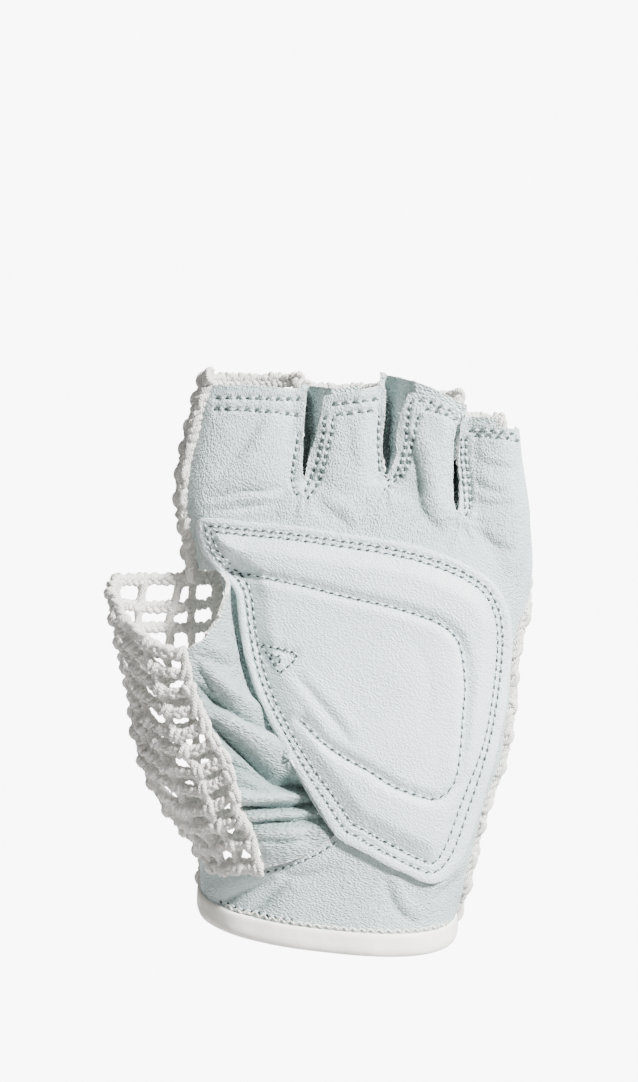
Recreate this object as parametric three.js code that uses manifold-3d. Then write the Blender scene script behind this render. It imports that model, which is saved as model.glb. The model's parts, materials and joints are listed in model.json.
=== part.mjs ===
// A fingerless cycling glove for the left hand, in the shape that a hand gives it: a thin leather palm cut
// into four finger tabs, a padded palm patch, a leather thumb gusset, a crocheted net back and thumb, three
// folded leather strips between the fingers and a bound wrist. Millimetres, +Z towards the fingertips,
// -Y out of the palm, -X towards the thumb. The origin is the middle of the wrist opening.
import * as THREE from "three";
import { mergeVertices } from "three/addons/utils/BufferGeometryUtils.js";
import Module from "manifold-3d";

const wasm = await Module();
wasm.setup();

// Driving sizes
const LEATHER = 1.2; // wall of the palm and gusset leather
const CROCHET_PROUD = 0.9; // how far the crochet stands out past the leather
const GAP = 0.3; // clearance between neighbouring pieces
const FAR = 80; // reach of a cutter that passes right through
const PALM_SQUARENESS = 2.4; // superellipse power of a hand section
const ROUND = 2; // superellipse power of a finger or thumb section

// Wrist opening: its plane dips towards the palm and a little towards the little finger
const RIM_SLOPE_X = -0.11;
const RIM_SLOPE_Y = 0.32;
const BINDING_HEIGHT = 5.4;
const BINDING_THICK = 2.6;

// Sections of the hand: side and front and back reach at each height
const HAND = [
  { z: -16, left: -30.2, right: 29.5, front: -17, back: 18 },
  { z: -2, left: -30.3, right: 30.6, front: -17, back: 18 },
  { z: 6, left: -30.4, right: 33.3, front: -17.2, back: 17.5 },
  { z: 15, left: -30.6, right: 35.3, front: -17.8, back: 17 },
  { z: 25, left: -31, right: 37.9, front: -18, back: 16 },
  { z: 37, left: -32, right: 42.3, front: -17.5, back: 15.5 },
  { z: 49, left: -32.5, right: 44.3, front: -16.5, back: 15 },
  { z: 62, left: -33, right: 45.4, front: -15.5, back: 14.5 },
  { z: 73, left: -33, right: 48.2, front: -15, back: 14 },
  { z: 83, left: -33.4, right: 49.4, front: -14.2, back: 13.5 },
  { z: 95, left: -34.6, right: 48.4, front: -12.8, back: 12.6 },
  { z: 101, left: -35.2, right: 47.2, front: -11.6, back: 12 },
];
const HAND_SIDES = 40;

// Sections of each finger sleeve, from inside the hand up to its open end
const FINGERS = {
  index: [
    { z: 68, x: -17, y: 0, halfWidth: 12, halfDepth: 9.4 },
    { z: 100, x: -20.4, y: -0.5, halfWidth: 15, halfDepth: 11.9 },
    { z: 113, x: -19.6, y: -1, halfWidth: 13.9, halfDepth: 11.2 },
    { z: 128, x: -17.4, y: -1.8, halfWidth: 12, halfDepth: 10.2 },
  ],
  middle: [
    { z: 68, x: 4, y: 0, halfWidth: 11.6, halfDepth: 10.4 },
    { z: 100, x: 4.3, y: 0, halfWidth: 10.2, halfDepth: 11.9 },
    { z: 113, x: 4.3, y: -0.5, halfWidth: 9.9, halfDepth: 11.2 },
    { z: 128, x: 4.3, y: -1.4, halfWidth: 9.6, halfDepth: 10.4 },
  ],
  ring: [
    { z: 68, x: 22.6, y: 0, halfWidth: 10.6, halfDepth: 9.6 },
    { z: 100, x: 23.3, y: 0, halfWidth: 9.3, halfDepth: 11.4 },
    { z: 113, x: 23.2, y: -0.5, halfWidth: 9.2, halfDepth: 10.7 },
    { z: 125.5, x: 23.1, y: -1.4, halfWidth: 9.3, halfDepth: 10 },
  ],
  little: [
    { z: 68, x: 37, y: 0, halfWidth: 9, halfDepth: 7.6 },
    { z: 96, x: 40, y: -0.5, halfWidth: 8.5, halfDepth: 10.2 },
    { z: 106, x: 39.5, y: -1, halfWidth: 7.6, halfDepth: 9.4 },
    { z: 119.5, x: 38.8, y: -1.8, halfWidth: 6.9, halfDepth: 8.7 },
  ],
};
const FINGER_SIDES = 18;

// Sections of the thumb sleeve, which starts inside the hand and leans out of the palm
const THUMB = [
  { z: 4, left: -24, right: 4, y: -6, halfDepth: 8 },
  { z: 9, left: -26.5, right: 3.6, y: -7, halfDepth: 10.4 },
  { z: 15, left: -29, right: 2.6, y: -8, halfDepth: 12 },
  { z: 22, left: -35.2, right: -1.2, y: -9.2, halfDepth: 13.6 },
  { z: 30, left: -40.4, right: -5.6, y: -10.4, halfDepth: 14.6 },
  { z: 41, left: -44.4, right: -11.8, y: -12.2, halfDepth: 15.2 },
  { z: 52, left: -45.8, right: -17.2, y: -13.6, halfDepth: 15.2 },
  { z: 64, left: -48.4, right: -21, y: -15.4, halfDepth: 14.8 },
  { z: 74, left: -50.4, right: -22.4, y: -17, halfDepth: 14.4 },
  { z: 86, left: -50.2, right: -22.6, y: -18.6, halfDepth: 13.8 },
];
const THUMB_SIDES = 24;

// Rim of the thumb sleeve, from the side: low in front, high where it joins the hand
const THUMB_RIM = [
  { y: -FAR, z: 58 },
  { y: -33, z: 60.5 },
  { y: -30.5, z: 62.5 },
  { y: -27, z: 68.5 },
  { y: -23, z: 74.5 },
  { y: -18.5, z: 78.4 },
  { y: -12, z: 80.4 },
  { y: FAR, z: 81.2 },
];

// Seams between leather and crochet, from the side
const SEAM_LITTLE_SIDE = [
  { z: -FAR, y: 1 },
  { z: 0, y: 0 },
  { z: 8, y: -5.6 },
  { z: 70, y: -5.6 },
  { z: 79, y: 1 },
  { z: 92, y: 3 },
  { z: 2 * FAR, y: 2 },
];
const SEAM_INDEX_SIDE = [
  { z: -FAR, y: 3 },
  { z: 20, y: 3 },
  { z: 80, y: -6.5 },
  { z: 2 * FAR, y: -7.5 },
];

// Seams seen from the front
const THUMB_SEAM = [
  { x: -32.4, z: 61.9 },
  { x: -29.9, z: 52 },
  { x: -26.4, z: 44.2 },
  { x: -23, z: 39.1 },
  { x: -21.1, z: 32.6 },
  { x: -19.7, z: 25.4 },
  { x: -16.6, z: 18.2 },
  { x: -14.9, z: 12 },
];
const PALM_SEAM = [
  { x: -21.4, z: 76.8 },
  { x: -20.9, z: 69.6 },
  { x: -19.4, z: 61.2 },
  { x: -16.6, z: 52.1 },
  { x: -12.5, z: 43.7 },
  { x: -6.5, z: 32.6 },
  { x: -2.2, z: 25.2 },
  { x: 1.9, z: 19.4 },
];
const GUSSET_HEM = [
  { x: -1.7, z: 16.8 },
  { x: -6.5, z: 14.4 },
  { x: -11.3, z: 12.7 },
];
const THUMB_TOP = 81.6; // height at which the palm leather passes over the thumb

// Where neighbouring finger sleeves meet, with the slot between their tabs and the leaf of the strip behind
const FORKS = [
  {
    name: "fourchette_index_middle",
    x: -5.6,
    slot: [
      { x: -5.3, z: 125.3 },
      { x: -5.9, z: 112 },
      { x: -7, z: 99.1 },
      { x: -5.9, z: 99.1 },
      { x: -2.9, z: 115.2 },
      { x: -1.2, z: 123.6 },
    ],
    leafTop: [
      { x: -5.6, z: 125.9 },
      { x: -1.3, z: 125 },
      { x: 2.6, z: 125 },
      { x: 7.4, z: 125.6 },
    ],
    foot: 98,
  },
  {
    name: "fourchette_middle_ring",
    x: 14,
    slot: [
      { x: 14.4, z: 125.6 },
      { x: 13.9, z: 112 },
      { x: 13.9, z: 101.5 },
      { x: 15.2, z: 101.5 },
      { x: 18, z: 112.8 },
      { x: 18.8, z: 122.4 },
    ],
    leafTop: [
      { x: 11.8, z: 129.2 },
      { x: 16.6, z: 127.6 },
      { x: 22.6, z: 125.4 },
      { x: 29.2, z: 122.8 },
    ],
    foot: 100,
  },
  {
    name: "fourchette_ring_little",
    x: 32.1,
    slot: [
      { x: 31.4, z: 119.2 },
      { x: 30.4, z: 111.6 },
      { x: 30.7, z: 95.2 },
      { x: 32, z: 95.2 },
      { x: 32.5, z: 111.6 },
      { x: 32.2, z: 116.4 },
    ],
    leafTop: [
      { x: 30.6, z: 118.6 },
      { x: 35, z: 118 },
      { x: 40.6, z: 117.9 },
    ],
    foot: 93.5,
  },
];
const FORK_OUTER = 1.5; // depth of the strip's leaf below the leather's face
const FORK_INNER = 2.7;
const WEB_HALF = 1.7; // half the thickness of the folded strip between two fingers
const WEB_REACH = 6.5; // how far the fold reaches to front and back

// Tops of the finger tabs, from the thumb side
const TAB_TOPS = [
  [
    { x: -FAR, z: 125.5 },
    { x: -24, z: 125.5 },
  ],
  [
    { x: 4.3, z: 123.8 },
    { x: 9.1, z: 124.6 },
    { x: 12.4, z: 126.8 },
  ],
  [
    { x: 22.6, z: 122.8 },
    { x: 26.5, z: 121.6 },
  ],
  [
    { x: 39.1, z: 115.9 },
    { x: FAR, z: 115.9 },
  ],
];

// Padded patch
const PATCH = [
  { x: -30.5, z: 94.1 },
  { x: -20.9, z: 93.4 },
  { x: -8.9, z: 92.2 },
  { x: 3.1, z: 90.5 },
  { x: 15.1, z: 88.6 },
  { x: 24.7, z: 86.2 },
  { x: 33.1, z: 82.8 },
  { x: 39.1, z: 78.6 },
  { x: 42.4, z: 72.6 },
  { x: 43.2, z: 65.3 },
  { x: 42.6, z: 56.4 },
  { x: 41, z: 45.6 },
  { x: 38.4, z: 34.8 },
  { x: 35, z: 23.5 },
  { x: 31.6, z: 14.4 },
  { x: 28.4, z: 9.8 },
  { x: 24.5, z: 8.2 },
  { x: 20.4, z: 9.4 },
  { x: 13.9, z: 12.7 },
  { x: 6.7, z: 16.8 },
  { x: 2.9, z: 19.2 },
  { x: -1.2, z: 25.2 },
  { x: -5.5, z: 32.6 },
  { x: -11.5, z: 43.7 },
  { x: -15.6, z: 52.1 },
  { x: -18.4, z: 61.2 },
  { x: -19.6, z: 69.6 },
  { x: -20.4, z: 76.3 },
  { x: -24.4, z: 81.2 },
  { x: -28.6, z: 86 },
];
const PATCH_CENTRE = { x: 8, z: 52 };
const PATCH_STANDOFF = 0.5;
// Rings from the edge in: share of the way out and thickness there, dipping under the sewn inner line
const PATCH_RINGS = [
  { reach: 1, thick: 1.1 },
  { reach: 0.95, thick: 1.7 },
  { reach: 0.87, thick: 2.7 },
  { reach: 0.76, thick: 2.5 },
  { reach: 0.69, thick: 2 },
  { reach: 0.6, thick: 2.6 },
  { reach: 0.35, thick: 3 },
];

// Crochet net: rows and columns of square holes
const NET = { pitchX: 8.1, pitchZ: 8.2, holeX: 4.6, holeZ: 4.6 };
const NET_LEFT = -22;
const NET_FOOT = 10;
const NET_COLUMNS = 8;
const NET_ROWS = 11;
const NET_EDGE = 7; // clear width kept at the little-finger side
const THUMB_NET = [
  { z: 70, turns: [-14, 14] },
  { z: 61.5, turns: [-2, 28] },
  { z: 52.5, turns: [4, 34, 62] },
  { z: 43.5, turns: [10, 38, 66] },
  { z: 34.5, turns: [16, 44, 70] },
  { z: 25.5, turns: [26, 54] },
];
const THUMB_HOLE = 4;
const THUMB_CROCHET_RIGHT = -27; // back edge of the thumb's crochet

// A closed loft through rings of points
function loft(rings) {
  const sides = rings[0].length;
  const position = rings.flat().flatMap((p) => [p.x, p.y, p.z]);
  const index = [];
  for (let i = 0; i + 1 < rings.length; i++) {
    for (let j = 0; j < sides; j++) {
      const k = (j + 1) % sides;
      const [a, b, c, d] = [i * sides + j, i * sides + k, (i + 1) * sides + k, (i + 1) * sides + j];
      index.push(a, b, c, a, c, d);
    }
  }
  for (const [ring, turned] of [
    [0, true],
    [rings.length - 1, false],
  ]) {
    const middle = position.length / 3;
    const centre = rings[ring].reduce((sum, p) => sum.add(p), new THREE.Vector3()).divideScalar(sides);
    position.push(centre.x, centre.y, centre.z);
    for (let j = 0; j < sides; j++) {
      const [a, b] = [ring * sides + j, ring * sides + ((j + 1) % sides)];
      index.push(...(turned ? [middle, b, a] : [middle, a, b]));
    }
  }
  const geometry = new THREE.BufferGeometry();
  geometry.setAttribute("position", new THREE.Float32BufferAttribute(position, 3));
  geometry.setIndex(index);
  return geometry;
}

// A geometry as a solid for joins and cuts
function solidOf(geometry) {
  const bare = new THREE.BufferGeometry();
  bare.setAttribute("position", geometry.getAttribute("position"));
  bare.setIndex(geometry.index);
  const merged = mergeVertices(bare, 1e-4);
  return new wasm.Manifold(
    new wasm.Mesh({
      numProp: 3,
      vertProperties: merged.attributes.position.array,
      triVerts: new Uint32Array(merged.index.array),
    }),
  );
}

// The largest body of a solid, which drops the slivers that a cut can leave
function mainBody(solid) {
  return solid.decompose().reduce((best, s) => (s.volume() > best.volume() ? s : best));
}

const joined = (solids) => solids.reduce((sum, s) => sum.add(s));

// One horizontal section: a superellipse whose front and back reach can differ
function section(z, middle, halfWidth, front, back, power, sides) {
  return Array.from({ length: sides }, (_, j) => {
    const turn = (2 * Math.PI * j) / sides;
    const [c, s] = [Math.cos(turn), Math.sin(turn)];
    const x = middle + halfWidth * Math.sign(c) * Math.abs(c) ** (2 / power);
    const share = Math.abs(s) ** (2 / power);
    const [centre, reach] = [(front + back) / 2, (back - front) / 2];
    return new THREE.Vector3(x, centre + Math.sign(s) * reach * share, z);
  });
}

const handSolid = (grow) =>
  solidOf(
    loft(
      HAND.map((r, i) =>
        section(
          r.z - (i === HAND.length - 1 && grow < 0 ? 2 : 0),
          (r.left + r.right) / 2,
          (r.right - r.left) / 2 + grow,
          r.front - grow,
          r.back + grow,
          PALM_SQUARENESS,
          HAND_SIDES,
        ),
      ),
    ),
  );

const fingerSolid = (rows, grow) =>
  solidOf(
    loft(
      rows.map((r, i) =>
        section(
          r.z + (i === rows.length - 1 && grow < 0 ? 4 : 0),
          r.x,
          r.halfWidth + grow,
          r.y - r.halfDepth - grow,
          r.y + r.halfDepth + grow,
          ROUND,
          FINGER_SIDES,
        ),
      ),
    ),
  );

const thumbSolid = (grow) =>
  solidOf(
    loft(
      THUMB.map((r) =>
        section(
          r.z,
          (r.left + r.right) / 2,
          (r.right - r.left) / 2 + grow,
          r.y - r.halfDepth - grow,
          r.y + r.halfDepth + grow,
          ROUND,
          THUMB_SIDES,
        ),
      ),
    ),
  );

// An outline in x and z pushed through from y0 to y1
function throughY(outline, y0, y1) {
  const shape = new THREE.Shape(outline.map((p) => new THREE.Vector2(p.x, p.z)));
  const geometry = new THREE.ExtrudeGeometry(shape, { depth: y1 - y0, bevelEnabled: false });
  geometry.rotateX(Math.PI / 2);
  geometry.translate(0, y1, 0);
  geometry.deleteAttribute("uv");
  return solidOf(geometry);
}

// An outline in y and z pushed through from x0 to x1
function throughX(outline, x0, x1) {
  const shape = new THREE.Shape(outline.map((p) => new THREE.Vector2(p.y, p.z)));
  const geometry = new THREE.ExtrudeGeometry(shape, { depth: x1 - x0, bevelEnabled: false });
  const [x, y, z] = [new THREE.Vector3(1, 0, 0), new THREE.Vector3(0, 1, 0), new THREE.Vector3(0, 0, 1)];
  geometry.applyMatrix4(new THREE.Matrix4().makeBasis(y, z, x));
  geometry.translate(x0, 0, 0);
  return solidOf(geometry);
}

function block(x0, x1, y0, y1, z0, z1) {
  const geometry = new THREE.BoxGeometry(x1 - x0, y1 - y0, z1 - z0);
  geometry.translate((x0 + x1) / 2, (y0 + y1) / 2, (z0 + z1) / 2);
  return solidOf(geometry);
}

const shifted = (points, dx, dz = 0) => points.map((p) => ({ ...p, x: p.x + dx, z: p.z + dz }));
const rimHeight = (x, y) => RIM_SLOPE_X * x + RIM_SLOPE_Y * y;

// All that lies below the wrist's binding
function belowWrist(lift) {
  const corners = [
    [-FAR, -FAR],
    [FAR, -FAR],
    [FAR, FAR],
    [-FAR, FAR],
  ];
  return solidOf(
    loft([
      corners.map(([x, y]) => new THREE.Vector3(x, y, -3 * FAR)),
      corners.map(([x, y]) => new THREE.Vector3(x, y, rimHeight(x, y) + lift)),
    ]),
  );
}

// Everything above the thumb's rim
const aboveThumbRim = (lift) =>
  throughX([...shifted(THUMB_RIM, 0, lift), { y: FAR, z: 2 * FAR }, { y: -FAR, z: 2 * FAR }], -FAR, FAR);

// Outer form of the glove, grown or shrunk, and the room inside it
function outerForm(grow) {
  const fingers = Object.values(FINGERS).map((rows) => fingerSolid(rows, grow));
  return joined([handSolid(grow), ...fingers, thumbSolid(grow).subtract(aboveThumbRim(0))]);
}
function innerRoom(depth) {
  const fingers = Object.values(FINGERS).map((rows) => fingerSolid(rows, -depth));
  return joined([handSolid(-depth), ...fingers, thumbSolid(-depth).subtract(aboveThumbRim(1))]);
}

// Regions that the panels are cut from
const seamRegion = (seam, x0, x1, back) =>
  throughX([...seam, { z: 2 * FAR, y: back * FAR }, { z: -FAR, y: back * FAR }], x0, x1);
const MIDDLE_X = 6;
const frontRegion = seamRegion(SEAM_INDEX_SIDE, -FAR, MIDDLE_X, -1).add(
  seamRegion(SEAM_LITTLE_SIDE, MIDDLE_X - 1, FAR, -1),
);
const backSeam = (seam) => seam.map((p) => ({ ...p, y: p.y + GAP }));
const backRegion = seamRegion(backSeam(SEAM_INDEX_SIDE), -FAR, MIDDLE_X, 1).add(
  seamRegion(backSeam(SEAM_LITTLE_SIDE), MIDDLE_X - 1, FAR, 1),
);

const thumbFront = (grow) =>
  throughY(
    [
      { x: -FAR, z: THUMB_TOP + grow },
      { x: THUMB_SEAM[0].x + grow, z: THUMB_TOP + grow },
      ...shifted(THUMB_SEAM, grow, -grow),
      { x: -19.2 + grow, z: 10.4 - grow },
      { x: -30, z: 14.4 - grow },
      { x: -FAR, z: 14.4 - grow },
    ],
    -FAR,
    FAR,
  );
const gussetFront = (grow) =>
  throughY(
    [
      { x: THUMB_SEAM[0].x - grow, z: THUMB_TOP + grow },
      ...shifted(THUMB_SEAM, -grow, -grow),
      ...shifted(GUSSET_HEM, 0, -grow).reverse(),
      ...shifted(PALM_SEAM, grow, -grow).reverse(),
      { x: PALM_SEAM[0].x + grow, z: THUMB_TOP + grow },
    ],
    -FAR,
    FAR,
  );
const tabOutline = [
  { x: -FAR, z: -FAR },
  ...FORKS.flatMap((fork, i) => [...TAB_TOPS[i], ...fork.slot]),
  ...TAB_TOPS[FORKS.length],
  { x: FAR, z: -FAR },
];
const webs = (grow) =>
  FORKS.map((f) =>
    block(f.x - WEB_HALF - grow, f.x + WEB_HALF + grow, -WEB_REACH - grow, WEB_REACH + grow, f.foot - grow, FAR * 2),
  );

const binding = BINDING_HEIGHT / 2 + GAP;
const room = innerRoom(LEATHER);
const leatherShell = outerForm(0).subtract(room).subtract(belowWrist(binding));
const crochetShell = outerForm(CROCHET_PROUD).subtract(room).subtract(belowWrist(binding));

function palmLeather() {
  return mainBody(
    leatherShell
      .intersect(frontRegion)
      .intersect(throughY(tabOutline, -FAR, FAR))
      .subtract(thumbFront(GAP))
      .subtract(gussetFront(GAP))
      .subtract(joined(webs(GAP))),
  );
}

function thumbGusset() {
  return mainBody(
    leatherShell.intersect(gussetFront(0)).subtract(thumbFront(GAP)).intersect(block(-FAR, FAR, -FAR, -3, 0, FAR * 2)),
  );
}

function crochetThumb() {
  const back = block(-FAR, THUMB_CROCHET_RIGHT, -3, FAR, 14.4, THUMB_TOP - 2);
  const front = thumbFront(0).intersect(block(-FAR, FAR, -FAR, -2.9, 0, FAR * 2));
  const holes = THUMB_NET.flatMap((row) => {
    const i = THUMB.findIndex((r) => r.z >= row.z);
    const { left, right, y } = THUMB[i];
    return row.turns.map((degrees) => {
      const size = THUMB_HOLE;
      const hole = new THREE.BoxGeometry(30, size, size);
      hole.translate(-19, 0, 0);
      hole.rotateZ(THREE.MathUtils.degToRad(degrees));
      hole.translate((left + right) / 2, y, row.z);
      return solidOf(hole);
    });
  });
  return mainBody(crochetShell.intersect(front.add(back)).subtract(joined(holes)));
}

function crochetBack() {
  const holes = [];
  for (let row = 0; row < NET_ROWS; row++) {
    const z = NET_FOOT + row * NET.pitchZ;
    const at = HAND.findIndex((r) => r.z >= z);
    for (let column = 0; column < NET_COLUMNS + 1; column++) {
      const x = NET_LEFT + column * NET.pitchX;
      if (at < 0 || x > HAND[at].right - NET_EDGE) continue;
      holes.push(block(x - NET.holeX / 2, x + NET.holeX / 2, 3, FAR, z - NET.holeZ / 2, z + NET.holeZ / 2));
    }
  }
  return mainBody(
    crochetShell
      .intersect(backRegion)
      .subtract(block(-FAR, THUMB_CROCHET_RIGHT + GAP, -FAR, FAR, 14.4 - GAP, THUMB_TOP - 2 + GAP))
      .subtract(thumbFront(GAP).intersect(block(-FAR, FAR, -FAR, -2.6, 0, FAR * 2)))
      .subtract(gussetFront(GAP).intersect(block(-FAR, FAR, -FAR, -2.6, 0, FAR * 2)))
      .subtract(joined(webs(GAP)))
      .subtract(joined(holes)),
  );
}

// A folded leather strip between two fingers, with its leaf behind the next tab
function fourchette(fork) {
  const fingers = Object.values(FINGERS);
  const left = fork.x - WEB_HALF - 0.4;
  const last = fork.leafTop[fork.leafTop.length - 1];
  const outline = [
    { x: left, z: fork.foot },
    { x: left, z: fork.leafTop[0].z - 0.4 },
    ...fork.leafTop,
    { x: last.x, z: fork.foot + 4 },
    { x: fork.x + WEB_HALF + 1, z: fork.foot },
  ];
  const body = joined([
    ...fingers.map((rows) => fingerSolid(rows, -FORK_OUTER)).map((s) => s.intersect(block(-FAR, FAR, -FAR, 0, 0, FAR * 2))),
    block(fork.x - WEB_HALF, fork.x + WEB_HALF, -WEB_REACH, WEB_REACH, fork.foot, FAR * 2),
  ]);
  const hollow = joined(fingers.map((rows) => fingerSolid(rows, -FORK_INNER)));
  return mainBody(body.subtract(hollow).intersect(throughY(outline, -FAR, FAR)));
}

// A table's row at a height
function rowAt(rows, z) {
  const above = rows.findIndex((r) => r.z >= z);
  const i = above < 0 ? rows.length - 1 : Math.max(1, above);
  const [a, b] = [rows[i - 1], rows[i]];
  const t = Math.min(1, (z - a.z) / (b.z - a.z));
  return Object.fromEntries(Object.keys(a).map((k) => [k, a[k] + t * (b[k] - a[k])]));
}

// Front of the palm at a place: the foremost of the hand and the finger sleeves
function palmDepth(x, z) {
  const h = rowAt(HAND, z);
  const front = (middle, halfWidth, centre, halfDepth, power) =>
    centre - halfDepth * Math.max(0, 1 - Math.min(1, Math.abs(x - middle) / halfWidth) ** power) ** (1 / power);
  const hand = front(
    (h.left + h.right) / 2,
    (h.right - h.left) / 2,
    (h.front + h.back) / 2,
    (h.back - h.front) / 2,
    PALM_SQUARENESS,
  );
  const fingers = Object.values(FINGERS)
    .filter((rows) => z > rows[0].z)
    .map((rows) => rowAt(rows, z))
    .map((f) => front(f.x, f.halfWidth, f.y, f.halfDepth, ROUND));
  return Math.min(hand, ...fingers);
}

// The padded patch: rings from its edge to its middle, on a back that follows the palm
function palmPatch() {
  const at = (p, reach) => ({
    x: PATCH_CENTRE.x + (p.x - PATCH_CENTRE.x) * reach,
    z: PATCH_CENTRE.z + (p.z - PATCH_CENTRE.z) * reach,
  });
  const ring = (reach, thick) =>
    PATCH.map((p) => at(p, reach)).map(
      (p) => new THREE.Vector3(p.x, palmDepth(p.x, p.z) - PATCH_STANDOFF - thick, p.z),
    );
  const rings = [
    ...PATCH_RINGS.map((r) => ring(r.reach, r.thick)).reverse(),
    ...PATCH_RINGS.map((r) => ring(r.reach, -1)),
  ];
  return mainBody(solidOf(loft(rings)).subtract(outerForm(PATCH_STANDOFF)));
}

// The bound wrist: a flat oval section swept round the opening
function wristBinding() {
  const around = 40;
  const profile = Array.from({ length: 8 }, (_, k) => {
    const turn = (2 * Math.PI * k) / 8;
    return { out: (BINDING_THICK / 2) * Math.cos(turn), up: (BINDING_HEIGHT / 2) * Math.sin(turn) };
  });
  const position = [];
  const index = [];
  for (let j = 0; j < around; j++) {
    for (const { out, up } of profile) {
      const h = rowAt(HAND, 0);
      const grow = out - LEATHER / 2 + 0.4;
      const p = section(
        0,
        (h.left + h.right) / 2,
        (h.right - h.left) / 2 + grow,
        h.front - grow,
        h.back + grow,
        PALM_SQUARENESS,
        around,
      )[j];
      position.push(p.x, p.y, rimHeight(p.x, p.y) + up);
    }
    for (let k = 0; k < 8; k++) {
      const [a, b] = [j * 8 + k, j * 8 + ((k + 1) % 8)];
      const [c, d] = [((j + 1) % around) * 8 + ((k + 1) % 8), ((j + 1) % around) * 8 + k];
      index.push(a, c, b, a, d, c);
    }
  }
  const geometry = new THREE.BufferGeometry();
  geometry.setAttribute("position", new THREE.Float32BufferAttribute(position, 3));
  geometry.setIndex(index);
  return solidOf(geometry);
}

const leather = new THREE.MeshStandardMaterial({ color: "#c6d0d1", roughness: 0.62 });
const patchLeather = new THREE.MeshStandardMaterial({ color: "#ccd6d7", roughness: 0.6 });
const cotton = new THREE.MeshStandardMaterial({ color: "#e9e8e4", roughness: 0.95 });
const trim = new THREE.MeshStandardMaterial({ color: "#ecece9", roughness: 0.55 });

function mesh(name, solid, material) {
  const made = solid.getMesh();
  const geometry = new THREE.BufferGeometry();
  geometry.setAttribute("position", new THREE.BufferAttribute(new Float32Array(made.vertProperties), 3));
  geometry.setIndex(new THREE.BufferAttribute(new Uint32Array(made.triVerts), 1));
  geometry.computeVertexNormals();
  const node = new THREE.Mesh(geometry, material);
  node.name = name;
  return node;
}

const glove = new THREE.Group();
glove.add(
  mesh("palm_leather", palmLeather(), leather),
  mesh("palm_patch", palmPatch(), patchLeather),
  mesh("thumb_gusset", thumbGusset(), leather),
  mesh("crochet_back", crochetBack(), cotton),
  mesh("crochet_thumb", crochetThumb(), cotton),
  ...FORKS.map((fork) => mesh(fork.name, fourchette(fork), leather)),
  mesh("wrist_binding", wristBinding(), trim),
);

export default glove;
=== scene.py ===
"""A fingerless cycling glove for the left hand, in the shape that a hand gives it.

The leather palm, gusset and patch are cut from smooth guide surfaces along their seams, the crochet is swept
from plies of cotton cord over the same guides, and the seams are sewn with single stitches. Tables are in
millimetres in the frame of the part: +Z to the fingertips, -Y out of the palm, -X to the thumb.
"""

import itertools
import json
import math
from functools import lru_cache
import bpy
import numpy as np
from bpy.props import FloatProperty, FloatVectorProperty, IntProperty, PointerProperty
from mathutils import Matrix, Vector
from mathutils.bvhtree import BVHTree

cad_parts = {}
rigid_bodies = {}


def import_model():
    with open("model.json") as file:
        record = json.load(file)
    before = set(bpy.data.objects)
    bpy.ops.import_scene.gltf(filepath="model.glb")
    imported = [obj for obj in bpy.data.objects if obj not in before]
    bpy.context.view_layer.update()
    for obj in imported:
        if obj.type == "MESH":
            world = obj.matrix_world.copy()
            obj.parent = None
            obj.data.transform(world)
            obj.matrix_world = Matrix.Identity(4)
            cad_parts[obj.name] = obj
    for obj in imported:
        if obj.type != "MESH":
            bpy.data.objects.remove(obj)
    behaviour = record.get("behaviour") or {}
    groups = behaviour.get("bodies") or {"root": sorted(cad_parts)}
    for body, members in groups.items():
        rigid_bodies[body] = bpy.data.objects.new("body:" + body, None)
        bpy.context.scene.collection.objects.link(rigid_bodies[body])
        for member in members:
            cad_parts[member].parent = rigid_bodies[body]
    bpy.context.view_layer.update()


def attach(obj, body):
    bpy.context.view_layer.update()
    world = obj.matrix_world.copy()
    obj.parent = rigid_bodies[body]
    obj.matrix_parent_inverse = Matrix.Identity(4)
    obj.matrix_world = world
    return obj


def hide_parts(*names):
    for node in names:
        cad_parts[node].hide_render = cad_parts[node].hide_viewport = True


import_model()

bl_info = {
    "name": "Cycling glove",
    "version": (1, 0, 0),
    "blender": (4, 5, 0),
    "location": "3D View > Sidebar > Glove",
    "description": "Builds a fingerless leather and crochet cycling glove",
    "category": "Add Mesh",
}

MM = 0.001

# Sections of the hand: z, left, right, front, back
HAND = [
    (-22, -30.1, 29.4, -17, 18),
    (-12, -30.2, 29.7, -17, 18),
    (-2, -30.3, 30.6, -17, 18),
    (6, -30.4, 33.3, -17.2, 17.5),
    (15, -30.6, 35.3, -17.8, 17),
    (25, -31, 37.9, -18, 16),
    (37, -32, 42.3, -17.5, 15.5),
    (49, -32.5, 44.3, -16.5, 15),
    (62, -33, 45.4, -15.5, 14.5),
    (73, -33, 48.2, -15, 14),
    (83, -33.4, 49.4, -14.2, 13.5),
    (95, -34.6, 48.4, -12.8, 12.6),
    (102, -35.2, 47.2, -11.4, 11.8),
]
HAND_POWER = 2.4
FINGER_POWER = 2.9

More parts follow.
